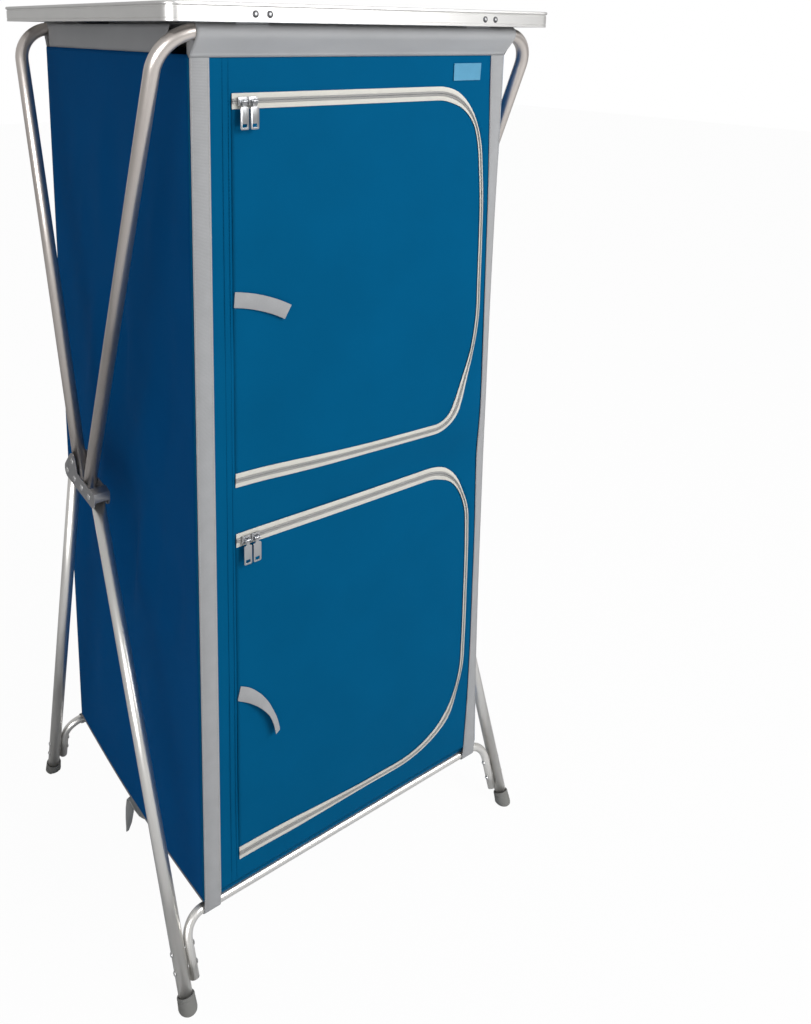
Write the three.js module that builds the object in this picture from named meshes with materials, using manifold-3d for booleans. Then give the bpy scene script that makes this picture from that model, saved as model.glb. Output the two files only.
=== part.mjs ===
// Camping kitchen cupboard: a folding frame of crossed tubes, a hung cloth cabinet with two zipped
// doors and cloth shelves, and a lift-off top. Millimetres, +Z up, the front faces -Y.
import * as THREE from "three";
import { mergeVertices } from "three/addons/utils/BufferGeometryUtils.js";
import { ConvexGeometry } from "three/addons/geometries/ConvexGeometry.js";
import Module from "manifold-3d";

const wasm = await Module();
wasm.setup();

// Driving dimensions: whole object and top
const overallHeight = 1320;
const tableWidth = 604;
const tableDepth = 572;
const tableEdgeHeight = 22;
const tableCornerRadius = 28;
const edgeWall = 2;
const edgeFlangeDepth = 18;
const edgeFlangeThickness = 1.5;
const edgeLipHeight = 4;
const edgeLipOverhang = 1.5;
const edgeGrooveHeight = 1.5;
const boardThickness = 5;

// Driving dimensions: tube frame
const frameTubeDiameter = 19;
const frameTubeWall = 1.2;
const frameSpan = 588;
const frameBendRadius = 50;
const topBarSeat = 10;
const frontBarInset = 34;
const rearBarInset = 45;
const frontFootInset = 28;
const rearFootInset = 17;
const lowerBarHeight = 98;
const lowerBarDiameter = 13;
const lowerBarWall = 1;
const lowerBarBendRadius = 28;
const lowerBarEndHeight = 28;
const legRivetLowHeight = 45;
const legRivetHighHeight = 67;

// Driving dimensions: hinge brackets
const bracketReach = 52.7;
const bracketPitch = 28;
const bracketTilt = THREE.MathUtils.degToRad(6);
const fixingRivetRise = 25;
const bracketSheet = 1.8;
const bracketHalfHeight = 12;
const bracketNose = 9;
const noseRoute = [[-4.5, 12.9], [-18.6, 9.6], [-20, 7], [-20, -2]];
const tubeEndPastPivot = 7;
const rearTubeEndPastPivot = 10;

// Driving dimensions: feet and rivets
const footRadius = 12.6;
const footTopRadius = 12;
const footHeight = 18;
const footFloor = 7.3;
const rivetRadius = 2.6;
const rivetHeadRadius = 4.6;
const rivetHeadHeight = 2;
const legRivetRadius = 2;
const legRivetHeadRadius = 3.6;

// Driving dimensions: cloth cabinet
const cabinetSideGap = 41;
const cabinetInsetBelow = 59;
const cabinetInsetAbove = 47;
const cabinetAboveBar = 19;
const cabinetBelowTop = 60;
const clothThickness = 1.2;
const clothBow = 4;
const clothRipple = 2;
const clothSlackBelow = 13;
const shelfThickness = 6;
const shelfSideGap = 8;
const bandThickness = 1;
const bandLap = 2;
const bandSideInset = 6.5;
const sideBandSlant = 23;
const sleeveGap = 0.5;
const webbingWidth = 25;
const webbingThickness = 1.4;
const webbingInset = 2;

// Driving dimensions: doors, zips and trim
const hingeLineInset = 56;
const doorRightInset = 34;
const upperDoorInset = 54;
const lowerDoorInset = 44;
const upperDoorGap = 36;
const lowerDoorGap = 38;
const doorBottomRise = 10;
const doorSlantInset = 60;
const doorSlantHeight = 135;
const doorSlantRadius = 45;
const doorEaseRadius = 250;
const doorTopRadius = 92;
const doorBottomRadius = 140;
const zipBandWidth = 19;
const zipBandThickness = 1;
const coilWidth = 6.4;
const coilThickness = 1.4;
const zipStart = 4;
const sliderLength = 12.5;
const sliderWidth = 10;
const sliderThickness = 2.2;
const sliderPitch = 14;
const sliderInset = 3;
const earThickness = 1.3;
const earReach = 3.4;
const earRadius = 1.7;
const pullPinRadius = 0.8;
const knuckleRadius = 2;
const knuckleWidth = 5;
const pullWidth = 11.6;
const pullLength = 27;
const pullNeck = 7;
const pullThickness = 1.4;
const pullWindowWidth = 6.5;
const pullWindowHeight = 4.5;
const pullWindowRim = 2.5;
const tieWidth = 20;
const tieThickness = 1.1;
const upperTieDrop = 245;
const lowerTieDrop = 224;
const upperTieRadius = 221;
const lowerTieRadius = 101;
const upperTieAngles = [9, 30].map(THREE.MathUtils.degToRad);
const lowerTieAngles = [25, 90].map(THREE.MathUtils.degToRad);
const labelWidth = 52;
const labelHeight = 24;
const labelThickness = 0.6;
const labelSideInset = 45;
const labelTopInset = 13;
const strapRun = 50;
const strapDip = 25;
const strapLoopRise = 12.5;
const strapLoopReach = 25;
const strapTailReach = 40;
const strapEndReach = 35;
const strapEndDrop = 75;

// Driving dimensions: table clips
const clipWidth = 44;
const clipThickness = 3;
const clipPlate = 2;
const clipDrop = 6;
const clipInset = 114.5;
const clipRivetSpacing = 19;
const clipRivetHeight = 9.5;
const clipRivetRadius = 1.8;
const clipRivetHeadRadius = 3.4;

// Clearances
const seamGap = 0.3;
const clearance = 0.3;
const cutOverrun = 2;

// Counts
const tubeSides = 16;
const bendSteps = 6;
const rivetSides = 8;
const knuckleSides = 12;
const arcSteps = 7;

const foldCount = 3;
const foldColumns = 18;
const foldRows = 8;

// Shares, chosen by hand
const headDomeShare = 0.7;
const mitreShare = 0.7;
const bracketHeightShare = 0.4853;
const doorSplitShare = 0.4873;
const shelfShares = [0.2423, 0.4864, 0.7305];

// Tolerances for merging points and for finding a station
const mergeTolerance = 1e-4;
const stationTolerance = 1e-9;

// Worked out from the sizes above
const tableUnderside = overallHeight - tableEdgeHeight;
const topBarHeight = tableUnderside - topBarSeat;
const tubeRadius = frameTubeDiameter / 2;
const barRadius = lowerBarDiameter / 2;
const sideX = frameSpan / 2;
const frontBarReach = tableDepth / 2 - frontBarInset;
const rearBarReach = tableDepth / 2 - rearBarInset;
const frontFootReach = tableDepth / 2 - frontFootInset;
const rearFootReach = tableDepth / 2 - rearFootInset;
const bracketHeight = overallHeight * bracketHeightShare;
const halfCabinet = sideX - cabinetSideGap;
const cabinetDepthBelow = tableDepth - cabinetInsetBelow * 2;
const cabinetDepthAbove = tableDepth - cabinetInsetAbove * 2;
const cabinetBottom = lowerBarHeight + cabinetAboveBar;
const cabinetTop = overallHeight - cabinetBelowTop;
const cabinetHeight = cabinetTop - cabinetBottom;
const frontSlope = (cabinetDepthAbove - cabinetDepthBelow) / 2 / cabinetHeight;
const sleeveInner = tubeRadius + sleeveGap;
const sleeveOuter = sleeveInner + bandThickness;
const hingeX = -halfCabinet + hingeLineInset;
const doorRight = halfCabinet - doorRightInset;
const doorSplit = cabinetBottom + cabinetHeight * doorSplitShare;
const clipOffset = sideX - clipInset;

// Side plane points, as (depth, height)
const fixedPivot = new THREE.Vector2(bracketReach, bracketHeight);
const plateLine = new THREE.Vector2(-Math.cos(bracketTilt), -Math.sin(bracketTilt));
const frontFramePivot = fixedPivot.clone().addScaledVector(plateLine, bracketPitch);
const frontLegPivot = fixedPivot.clone().addScaledVector(plateLine, bracketPitch * 2);
const rearLegPivot = fixedPivot.clone().addScaledVector(plateLine, -bracketPitch);
const rearBar = new THREE.Vector2(rearBarReach, topBarHeight);
const frontBar = new THREE.Vector2(-frontBarReach, topBarHeight);
const rearFoot = new THREE.Vector2(rearFootReach, 0);
const frontFoot = new THREE.Vector2(-frontFootReach, 0);
const fixingRivet = towards(fixedPivot, rearBar, fixingRivetRise);

// The point at a distance from one point towards another
function towards(from, to, distance) {
  const step = to.clone().sub(from).normalize();
  return from.clone().addScaledVector(step, distance);
}

// The point at a height on the line of two points
function atHeight(from, to, height) {
  return from.clone().lerp(to, (height - from.y) / (to.y - from.y));
}

function inSpace(x, point) {
  return new THREE.Vector3(x, point.x, point.y);
}

// Cabinet face depth at a height: the cabinet is a little deeper above than below
function faceDepth(height) {
  return cabinetDepthBelow / 2 + frontSlope * (height - cabinetBottom);
}

// Solids for cutting and joining
function solidOf(geometry) {
  const bare = geometry.index ? geometry.toNonIndexed() : geometry.clone();
  bare.deleteAttribute("normal");
  bare.deleteAttribute("uv");
  const merged = mergeVertices(bare, mergeTolerance);
  const solid = new wasm.Manifold(
    new wasm.Mesh({
      numProp: 3,
      vertProperties: merged.attributes.position.array,
      triVerts: new Uint32Array(merged.index.array),
    }),
  );
  return solid;
}

function geometryOf(solid) {
  const mesh = solid.getMesh();
  const geometry = new THREE.BufferGeometry();
  geometry.setAttribute("position", new THREE.Float32BufferAttribute(mesh.vertProperties, 3));
  geometry.setIndex(new THREE.Uint32BufferAttribute(mesh.triVerts, 1));
  const faceted = geometry.toNonIndexed();
  faceted.computeVertexNormals();
  return faceted;
}

function cut(base, ...tools) {
  let solid = solidOf(base);
  for (const tool of tools) {
    solid = solid.subtract(solidOf(tool));
  }
  return geometryOf(solid);
}

function join(...parts) {
  let solid = solidOf(parts[0]);
  for (const part of parts.slice(1)) {
    solid = solid.add(solidOf(part));
  }
  return geometryOf(solid);
}

function polygon(points) {
  return new THREE.Shape(points.map(([a, b]) => new THREE.Vector2(a, b)));
}

// An outline in width and height, given a thickness in depth from one depth to another
function extrudeInDepth(shape, from, to) {
  const geometry = new THREE.ExtrudeGeometry(shape, {
    depth: to - from,
    bevelEnabled: false,
    curveSegments: arcSteps,
  });
  geometry.rotateX(Math.PI / 2);
  geometry.translate(0, to, 0);
  return geometry;
}

// An outline in depth and height, given a width from one side position to another
function extrudeInWidth(shape, from, to) {
  const geometry = new THREE.ExtrudeGeometry(shape, {
    depth: to - from,
    bevelEnabled: false,
    curveSegments: arcSteps,
  });
  const basis = new THREE.Matrix4().makeBasis(
    new THREE.Vector3(0, 1, 0),
    new THREE.Vector3(0, 0, 1),
    new THREE.Vector3(1, 0, 0),
  );
  geometry.applyMatrix4(basis);
  geometry.translate(from, 0, 0);
  return geometry;
}

function block(x0, x1, y0, y1, z0, z1) {
  const geometry = new THREE.BoxGeometry(x1 - x0, y1 - y0, z1 - z0);
  geometry.translate((x0 + x1) / 2, (y0 + y1) / 2, (z0 + z1) / 2);
  return geometry;
}

// A round bar along the width direction
function crossPin(radius, x0, x1, point, sides) {
  const geometry = new THREE.CylinderGeometry(radius, radius, x1 - x0, sides);
  geometry.rotateZ(Math.PI / 2);
  geometry.translate((x0 + x1) / 2, point.x, point.y);
  return geometry;
}

// Leans a flat piece drawn at depth zero onto the front face, with its front towards -Y
function onFront(geometry) {
  const lean = new THREE.Matrix4().set(
    1, 0, 0, 0,
    0, 1, -frontSlope, -faceDepth(0),
    0, 0, 1, 0,
    0, 0, 0, 1,
  );
  return geometry.applyMatrix4(lean);
}

function onBack(geometry) {
  const lean = new THREE.Matrix4().set(
    1, 0, 0, 0,
    0, 1, frontSlope, faceDepth(0),
    0, 0, 1, 0,
    0, 0, 0, 1,
  );
  return geometry.applyMatrix4(lean);
}

// A route through given stations, one ring of the tube at each
class StationCurve extends THREE.Curve {
  constructor(stations) {
    super();
    this.stations = stations;
  }

  getPoint(t, target = new THREE.Vector3()) {
    const last = this.stations.length - 1;
    const place = Math.min(last, Math.max(0, t * last));
    const low = Math.min(last - 1, Math.floor(place + stationTolerance));
    return target.lerpVectors(this.stations[low], this.stations[low + 1], place - low);
  }

  getPointAt(t, target) {
    return this.getPoint(t, target);
  }

  getTangent(t, target = new THREE.Vector3()) {
    const last = this.stations.length - 1;
    const at = Math.round(t * last);
    const before = this.stations[Math.max(0, at - 1)];
    const here = this.stations[at];
    const after = this.stations[Math.min(last, at + 1)];
    const arriving = here.clone().sub(before).normalize();
    const leaving = after.clone().sub(here).normalize();
    return target.copy(arriving).add(leaving).normalize();
  }

  getTangentAt(t, target) {
    return this.getTangent(t, target);
  }
}

// Stations of a bent tube: straight runs joined by round bends at the inner corners
function bentStations(corners, radius) {
  const stations = [corners[0]];
  for (let i = 1; i < corners.length - 1; i += 1) {
    const arriving = corners[i].clone().sub(corners[i - 1]).normalize();
    const leaving = corners[i + 1].clone().sub(corners[i]).normalize();
    const turn = arriving.angleTo(leaving);
    const cutBack = radius * Math.tan(turn / 2);
    const inward = leaving.clone().sub(arriving).normalize();
    const centre = corners[i].clone().addScaledVector(inward, radius / Math.cos(turn / 2));
    const start = corners[i].clone().addScaledVector(arriving, -cutBack).sub(centre);
    const axis = arriving.clone().cross(leaving).normalize();
    for (let step = 0; step <= bendSteps; step += 1) {
      const spoke = start.clone().applyAxisAngle(axis, (turn * step) / bendSteps);
      stations.push(centre.clone().add(spoke));
    }
  }
  stations.push(corners[corners.length - 1]);
  return stations;
}

// A hollow tube through the corners of its route
function bentTube(corners, bendRadius, radius, wall) {
  const section = new THREE.Shape().absarc(0, 0, radius, 0, Math.PI * 2, false);
  section.holes.push(new THREE.Path().absarc(0, 0, radius - wall, 0, Math.PI * 2, true));
  const stations = bentStations(corners, bendRadius);
  return new THREE.ExtrudeGeometry(section, {
    steps: stations.length - 1,
    curveSegments: tubeSides / 2,
    bevelEnabled: false,
    extrudePath: new StationCurve(stations),
  });
}

// A rivet or pin across the width, with a domed head at each end
function rivet(x0, x1, point, shank, head, headHeight = rivetHeadHeight) {
  const length = x1 - x0;
  const dome = head * headDomeShare;
  const domeRise = headHeight * headDomeShare;
  const profile = [
    [0, -headHeight], [dome, -domeRise], [head, 0], [shank, 0],
    [shank, length], [head, length], [dome, length + domeRise], [0, length + headHeight],
  ].map(([a, b]) => new THREE.Vector2(a, b));
  const geometry = new THREE.LatheGeometry(profile, rivetSides);
  geometry.rotateZ(-Math.PI / 2);
  geometry.translate(x0, point.x, point.y);
  return outward(geometry);
}

// Turns every face round where a closed mesh has come out inside out
function outward(geometry) {
  const bare = geometry.index ? geometry.toNonIndexed() : geometry;
  const position = bare.attributes.position;
  const a = new THREE.Vector3();
  const b = new THREE.Vector3();
  const c = new THREE.Vector3();
  let volume = 0;
  for (let i = 0; i < position.count; i += 3) {
    a.fromBufferAttribute(position, i);
    b.fromBufferAttribute(position, i + 1);
    c.fromBufferAttribute(position, i + 2);
    volume += a.dot(b.cross(c));
  }
  if (volume < 0) {
    for (let i = 0; i < position.count; i += 3) {
      b.fromBufferAttribute(position, i + 1);
      c.fromBufferAttribute(position, i + 2);
      position.setXYZ(i + 1, c.x, c.y, c.z);
      position.setXYZ(i + 2, b.x, b.y, b.z);
    }
  }
  bare.computeVertexNormals();
  return bare;
}

// The hull of round discs in the side plane, as a flat plate across the width
function discPlate(discs, x0, x1) {
  const points = [];
  for (const [centre, radius] of discs) {
    for (let i = 0; i < knuckleSides * 2; i += 1) {
      const angle = (i / (knuckleSides * 2)) * Math.PI * 2;
      const y = centre.x + radius * Math.cos(angle);
      const z = centre.y + radius * Math.sin(angle);
      points.push(new THREE.Vector3(x0, y, z), new THREE.Vector3(x1, y, z));
    }
  }
  return new ConvexGeometry(points);
}

// A strip's outline: a line of points given a thickness, half to each side
function stripShape(points, thickness) {
  const left = [];
  const right = [];
  const last = points.length - 1;
  points.forEach((point, i) => {
    const arriving = point.clone().sub(points[Math.max(0, i - 1)]);
    const leaving = points[Math.min(last, i + 1)].clone().sub(point);
    const a = i === 0 ? leaving.clone().normalize() : arriving.normalize();
    const b = i === last ? a.clone() : leaving.normalize();
    const along = a.clone().add(b).normalize();
    const mitre = thickness / 2 / Math.max(along.dot(a), mitreShare);
    const side = new THREE.Vector2(-along.y, along.x).multiplyScalar(mitre);
    left.push(point.clone().add(side));
    right.unshift(point.clone().sub(side));
  });
  return new THREE.Shape([...left, ...right]);
}

function arcPoints(centre, radius, fromAngle, toAngle, steps = arcSteps) {
  const points = [];
  for (let i = 0; i <= steps; i += 1) {
    const angle = fromAngle + ((toAngle - fromAngle) * i) / steps;
    const spoke = new THREE.Vector2(Math.cos(angle), Math.sin(angle));
    points.push(centre.clone().addScaledVector(spoke, radius));
  }
  return points;
}

// Where a straight line from a point meets a circle, turned one way or the other
function tangentAngle(point, centre, radius, turn) {
  const away = point.clone().sub(centre);
  return Math.atan2(away.y, away.x) + turn * Math.acos(radius / away.length());
}

// A thin closed sheet between two grids of points
function sheetSolid(columns, rows, outer, inner) {
  const positions = [];
  const index = [];
  const perSide = (columns + 1) * (rows + 1);
  for (const face of [outer, inner]) {
    for (let j = 0; j <= rows; j += 1) {
      for (let i = 0; i <= columns; i += 1) {
        positions.push(...face(i / columns, j / rows).toArray());
      }
    }
  }
  const at = (side, i, j) => side * perSide + j * (columns + 1) + i;
  for (let j = 0; j < rows; j += 1) {
    for (let i = 0; i < columns; i += 1) {
      index.push(at(0, i, j), at(0, i + 1, j), at(0, i + 1, j + 1));
      index.push(at(0, i, j), at(0, i + 1, j + 1), at(0, i, j + 1));
      index.push(at(1, i, j), at(1, i + 1, j + 1), at(1, i + 1, j));
      index.push(at(1, i, j), at(1, i, j + 1), at(1, i + 1, j + 1));
    }
  }
  const wall = (p, q) => {
    index.push(at(0, ...p), at(1, ...p), at(1, ...q));
    index.push(at(0, ...p), at(1, ...q), at(0, ...q));
  };
  for (let i = 0; i < columns; i += 1) {
    wall([i, 0], [i + 1, 0]);
    wall([i + 1, rows], [i, rows]);
  }
  for (let j = 0; j < rows; j += 1) {
    wall([0, j + 1], [0, j]);
    wall([columns, j], [columns, j + 1]);
  }
  const geometry = new THREE.BufferGeometry();
  geometry.setAttribute("position", new THREE.Float32BufferAttribute(positions, 3));
  geometry.setIndex(index);
  return outward(geometry);
}

// Finishes
function finish(colour, roughness, metalness) {
  return () => new THREE.MeshStandardMaterial({ color: colour, roughness, metalness });
}
const aluminium = finish(0xc9c8c6, 0.38, 0.9);
const laminate = finish(0xdedddb, 0.5, 0);
const blueCloth = finish(0x005c89, 0.8, 0);
const greyCloth = finish(0xa5a5a8, 0.85, 0);
const greyWebbing = finish(0x969698, 0.9, 0);
const zipCloth = finish(0xdedcd4, 0.8, 0);
const steel = finish(0x77777a, 0.4, 0.9);
const brightSteel = finish(0xc4c4c4, 0.25, 1);
const greyRubber = finish(0x7d7e7b, 0.85, 0);
const labelCloth = finish(0x6fb0d2, 0.7, 0);

const cupboard = new THREE.Group();

function add(name, geometry, makeFinish) {
  const mesh = new THREE.Mesh(geometry, makeFinish());
  mesh.name = name;
  cupboard.add(mesh);
}

const sides = [["left", -1], ["right", 1]];

function ordered(a, b) {
  return a < b ? [a, b] : [b, a];
}

// Cross holes for pivots and rivets
function pivotHoles(points, radius, x0, x1) {
  return points.map((point) => crossPin(radius, x0, x1, point, rivetSides));
}

// Upper frames: one bent tube each, from a bracket up over the top bar and down again
function upperFrame(pivot, bar, holes, pastPivot) {
  const low = towards(pivot, bar, -pastPivot);
  const corners = [
    inSpace(-sideX, low),
    inSpace(-sideX, bar),
    inSpace(sideX, bar),
    inSpace(sideX, low),
  ];
  const tube = bentTube(corners, frameBendRadius, tubeRadius, frameTubeWall);
  const reach = sideX + tubeRadius + cutOverrun;
  return cut(tube, ...pivotHoles(holes, rivetRadius + clearance, -reach, reach));
}
add(
  "rear_upper_frame",
  upperFrame(fixedPivot, rearBar, [fixedPivot, fixingRivet], rearTubeEndPastPivot),
  aluminium,
);
add(
  "front_upper_frame",
  upperFrame(frontFramePivot, frontBar, [frontFramePivot], tubeEndPastPivot),
  aluminium,
);

// Legs: straight tubes from a bracket to the feet
function leg(side, pivot, foot) {
  const top = towards(pivot, foot, -tubeEndPastPivot);
  const end = towards(foot, pivot, footFloor);
  const x = side * sideX;
  const tube = bentTube([inSpace(x, top), inSpace(x, end)], 0, tubeRadius, frameTubeWall);
  const [x0, x1] = [x - tubeRadius - cutOverrun, x + tubeRadius + cutOverrun];
  const rivets = [legRivetLowHeight, legRivetHighHeight].map((z) => atHeight(foot, pivot, z));
  return cut(
    tube,
    ...pivotHoles([pivot], rivetRadius + clearance, x0, x1),
    ...pivotHoles(rivets, legRivetRadius + clearance, x0, x1),
  );
}

// Feet: caps pushed over the tube ends, cut flat where they stand on the floor
function footCap(side, pivot, foot) {
  const along = inSpace(0, pivot).sub(inSpace(0, foot)).normalize();
  const turn = new THREE.Quaternion().setFromUnitVectors(new THREE.Vector3(0, 1, 0), along);
  const below = footHeight;
  const outer = new THREE.CylinderGeometry(footTopRadius, footRadius, footHeight + below, tubeSides);
  outer.translate(0, (footHeight - below) / 2, 0);
  const boreLength = footHeight - footFloor + clearance + cutOverrun;
  const bore = new THREE.CylinderGeometry(
    tubeRadius + clearance, tubeRadius + clearance, boreLength, tubeSides,
  );
  bore.translate(0, footFloor - clearance + boreLength / 2, 0);
  for (const piece of [outer, bore]) {
    piece.applyQuaternion(turn);
    piece.translate(side * sideX, foot.x, foot.y);
  }
  const reach = footHeight * 2;
  const floor = block(
    side * sideX - reach, side * sideX + reach, foot.x - reach, foot.x + reach, -reach * 2, 0,
  );
  return cut(outer, bore, floor);
}

// Lower crossbars: bent down inside the legs, with the two rivets set at each end
const barEndX = sideX - tubeRadius - barRadius - clearance;

function lowerBar(pivot, foot) {
  const straight = atHeight(foot, pivot, lowerBarHeight);
  const end = atHeight(foot, pivot, lowerBarEndHeight);
  const corners = [
    inSpace(-barEndX, end),
    inSpace(-barEndX, straight),
    inSpace(barEndX, straight),
    inSpace(barEndX, end),
  ];
  const tube = bentTube(corners, lowerBarBendRadius, barRadius, lowerBarWall);
  const outer = sideX + tubeRadius;
  const inner = barEndX - barRadius;
  const rivets = [];
  for (const [, side] of sides) {
    const [x0, x1] = ordered(side * outer, side * inner);
    for (const z of [legRivetLowHeight, legRivetHighHeight]) {
      rivets.push(rivet(x0, x1, atHeight(foot, pivot, z), legRivetRadius, legRivetHeadRadius));
    }
  }
  return join(tube, ...rivets);
}

for (const [end, pivot, foot] of [["front", frontLegPivot, frontFoot], ["rear", rearLegPivot, rearFoot]]) {
  for (const [name, side] of sides) {
    add(`${end}_leg_${name}`, leg(side, pivot, foot), aluminium);
    add(`${end}_foot_cap_${name}`, footCap(side, pivot, foot), greyRubber);
  }
  add(`${end}_crossbar`, lowerBar(pivot, foot), aluminium);
}

// Hinge brackets: a sheet channel on each side, its roof over the nose stops the front leg
const cheekInner = tubeRadius + clearance;
const cheekOuter = cheekInner + bracketSheet;
const pivots = {
  rear_leg_pivot: rearLegPivot,
  front_frame_pivot: frontFramePivot,
  front_leg_pivot: frontLegPivot,
};
const noseDisc = frontLegPivot.clone().addScaledVector(plateLine, bracketNose);

function bracket(side) {
  const x = side * sideX;
  const headDiscs = [fixedPivot, fixingRivet, rearLegPivot].map((point) => [point, bracketHalfHeight]);
  const barDiscs = [[fixedPivot, bracketHalfHeight], [noseDisc, bracketHalfHeight]];
  const [x0, x1] = [x - cheekOuter, x + cheekOuter];
  const body = join(discPlate(headDiscs, x0, x1), discPlate(barDiscs, x0, x1));
  const bodyInside = block(
    x - cheekInner, x + cheekInner,
    noseDisc.x - bracketHalfHeight * 2, rearLegPivot.x + bracketHalfHeight * 2,
    bracketHeight - bracketReach, bracketHeight + bracketReach,
  );
  const cheeks = cut(body, bodyInside);
  const roofRoute = noseRoute.map(([y, z]) => frontLegPivot.clone().add(new THREE.Vector2(y, z)));
  const roof = extrudeInWidth(stripShape(roofRoute, bracketSheet), x0, x1);
  const [h0, h1] = [x0 - cutOverrun, x1 + cutOverrun];
  const drilled = cut(
    join(cheeks, roof),
    ...pivotHoles(Object.values(pivots), rivetRadius + clearance, h0, h1),
  );
  const fixings = [fixedPivot, fixingRivet].map((point) => bracketRivet(side, point));
  return join(drilled, ...fixings);
}

function bracketRivet(side, point) {
  const x = side * sideX;
  return rivet(x - cheekOuter, x + cheekOuter, point, rivetRadius, rivetHeadRadius);
}

for (const [name, side] of sides) {
  add(`hinge_bracket_${name}`, bracket(side), steel);
  for (const [pin, point] of Object.entries(pivots)) {
    add(`${pin}_${name}`, bracketRivet(side, point), brightSteel);
  }
}

// Table edge: an open channel rail bent round the corners, with a lip over the board
const lipBottom = overallHeight - edgeLipHeight;
const boardUnderside = overallHeight - clearance - boardThickness;

function ringSweep(profile, width, depth, radius) {
  const stations = [];
  const quarter = Math.PI / 2;
  const centres = [[1, 1], [-1, 1], [-1, -1], [1, -1]];
  centres.forEach(([sx, sy], corner) => {
    for (let i = 0; i <= arcSteps; i += 1) {
      const angle = corner * quarter + (quarter * i) / arcSteps;
      const centre = [sx * (width / 2 - radius), sy * (depth / 2 - radius)];
      stations.push([centre, Math.cos(angle), Math.sin(angle)]);
    }
  });
  const positions = [];
  for (const [[cx, cy], nx, ny] of stations) {
    for (const [inset, z] of profile) {
      positions.push(cx + (radius - inset) * nx, cy + (radius - inset) * ny, z);
    }
  }
  const index = [];
  const rows = profile.length;
  for (let s = 0; s < stations.length; s += 1) {
    const next = (s + 1) % stations.length;
    for (let r = 0; r < rows; r += 1) {
      const up = (r + 1) % rows;
      const [a, b, c, d] = [s * rows + r, next * rows + r, next * rows + up, s * rows + up];
      index.push(a, b, c, a, c, d);
    }
  }
  const geometry = new THREE.BufferGeometry();
  geometry.setAttribute("position", new THREE.Float32BufferAttribute(positions, 3));
  geometry.setIndex(index);
  return outward(geometry);
}

const railFace = edgeLipOverhang;
const railInner = edgeLipOverhang + edgeWall;
const ledgeTop = boardUnderside - clearance;
const ledgeBottom = ledgeTop - edgeFlangeThickness;
const flangeTop = tableUnderside + edgeFlangeThickness;
const edgeProfile = [
  [railFace, tableUnderside],
  [railFace, lipBottom - edgeGrooveHeight],
  [railFace + edgeLipOverhang / 2, lipBottom - edgeGrooveHeight],
  [railFace + edgeLipOverhang / 2, lipBottom],
  [0, lipBottom],
  [0, overallHeight],
  [railInner, overallHeight],
  [railInner, ledgeTop],
  [railInner + edgeFlangeDepth / 2, ledgeTop],
  [railInner + edgeFlangeDepth / 2, ledgeBottom],
  [railInner, ledgeBottom],
  [railInner, flangeTop],
  [edgeFlangeDepth, flangeTop],
  [edgeFlangeDepth, tableUnderside],
];

const clipWallY = tableDepth / 2 - railInner;
const clipRivetZ = tableUnderside + clipRivetHeight;

function clipRivetPlaces() {
  const places = [];
  for (const [, side] of sides) {
    for (const half of [-1, 1]) {
      places.push(side * clipOffset + (half * clipRivetSpacing) / 2);
    }
  }
  return places;
}

function depthPin(radius, x, y0, y1, z, sidesCount) {
  const geometry = new THREE.CylinderGeometry(radius, radius, y1 - y0, sidesCount);
  geometry.translate(x, (y0 + y1) / 2, z);
  return geometry;
}

const edgeHoles = [];
for (const x of clipRivetPlaces()) {
  for (const face of [-1, 1]) {
    const [y0, y1] = ordered(
      face * (tableDepth / 2 + cutOverrun),
      face * (clipWallY - clipPlate - cutOverrun),
    );
    edgeHoles.push(depthPin(clipRivetRadius + clearance, x, y0, y1, clipRivetZ, rivetSides));
  }
}
add(
  "table_edge_rail",
  cut(ringSweep(edgeProfile, tableWidth, tableDepth, tableCornerRadius), ...edgeHoles),
  aluminium,
);

// Table board: a rounded sheet dropped in behind the lip
function roundedRectangle(width, depth, radius) {
  const shape = new THREE.Shape();
  const [x, y] = [width / 2 - radius, depth / 2 - radius];
  shape.absarc(x, y, radius, 0, Math.PI / 2, false);
  shape.absarc(-x, y, radius, Math.PI / 2, Math.PI, false);
  shape.absarc(-x, -y, radius, Math.PI, Math.PI * 1.5, false);
  shape.absarc(x, -y, radius, Math.PI * 1.5, Math.PI * 2, false);
  return shape;
}
const boardInset = railInner + clearance;
const board = new THREE.ExtrudeGeometry(
  roundedRectangle(
    tableWidth - boardInset * 2,
    tableDepth - boardInset * 2,
    tableCornerRadius - boardInset,
  ),
  { depth: boardThickness, bevelEnabled: false, curveSegments: arcSteps },
);
board.translate(0, 0, boardUnderside);
add("table_board", board, laminate);

// Table clips: saddles that drop over the rear top bar, and rest against the front one
const saddleTop = topBarHeight + sleeveOuter + clearance;
const clipTop = saddleTop + clipThickness + edgeFlangeThickness * 2;

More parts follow.
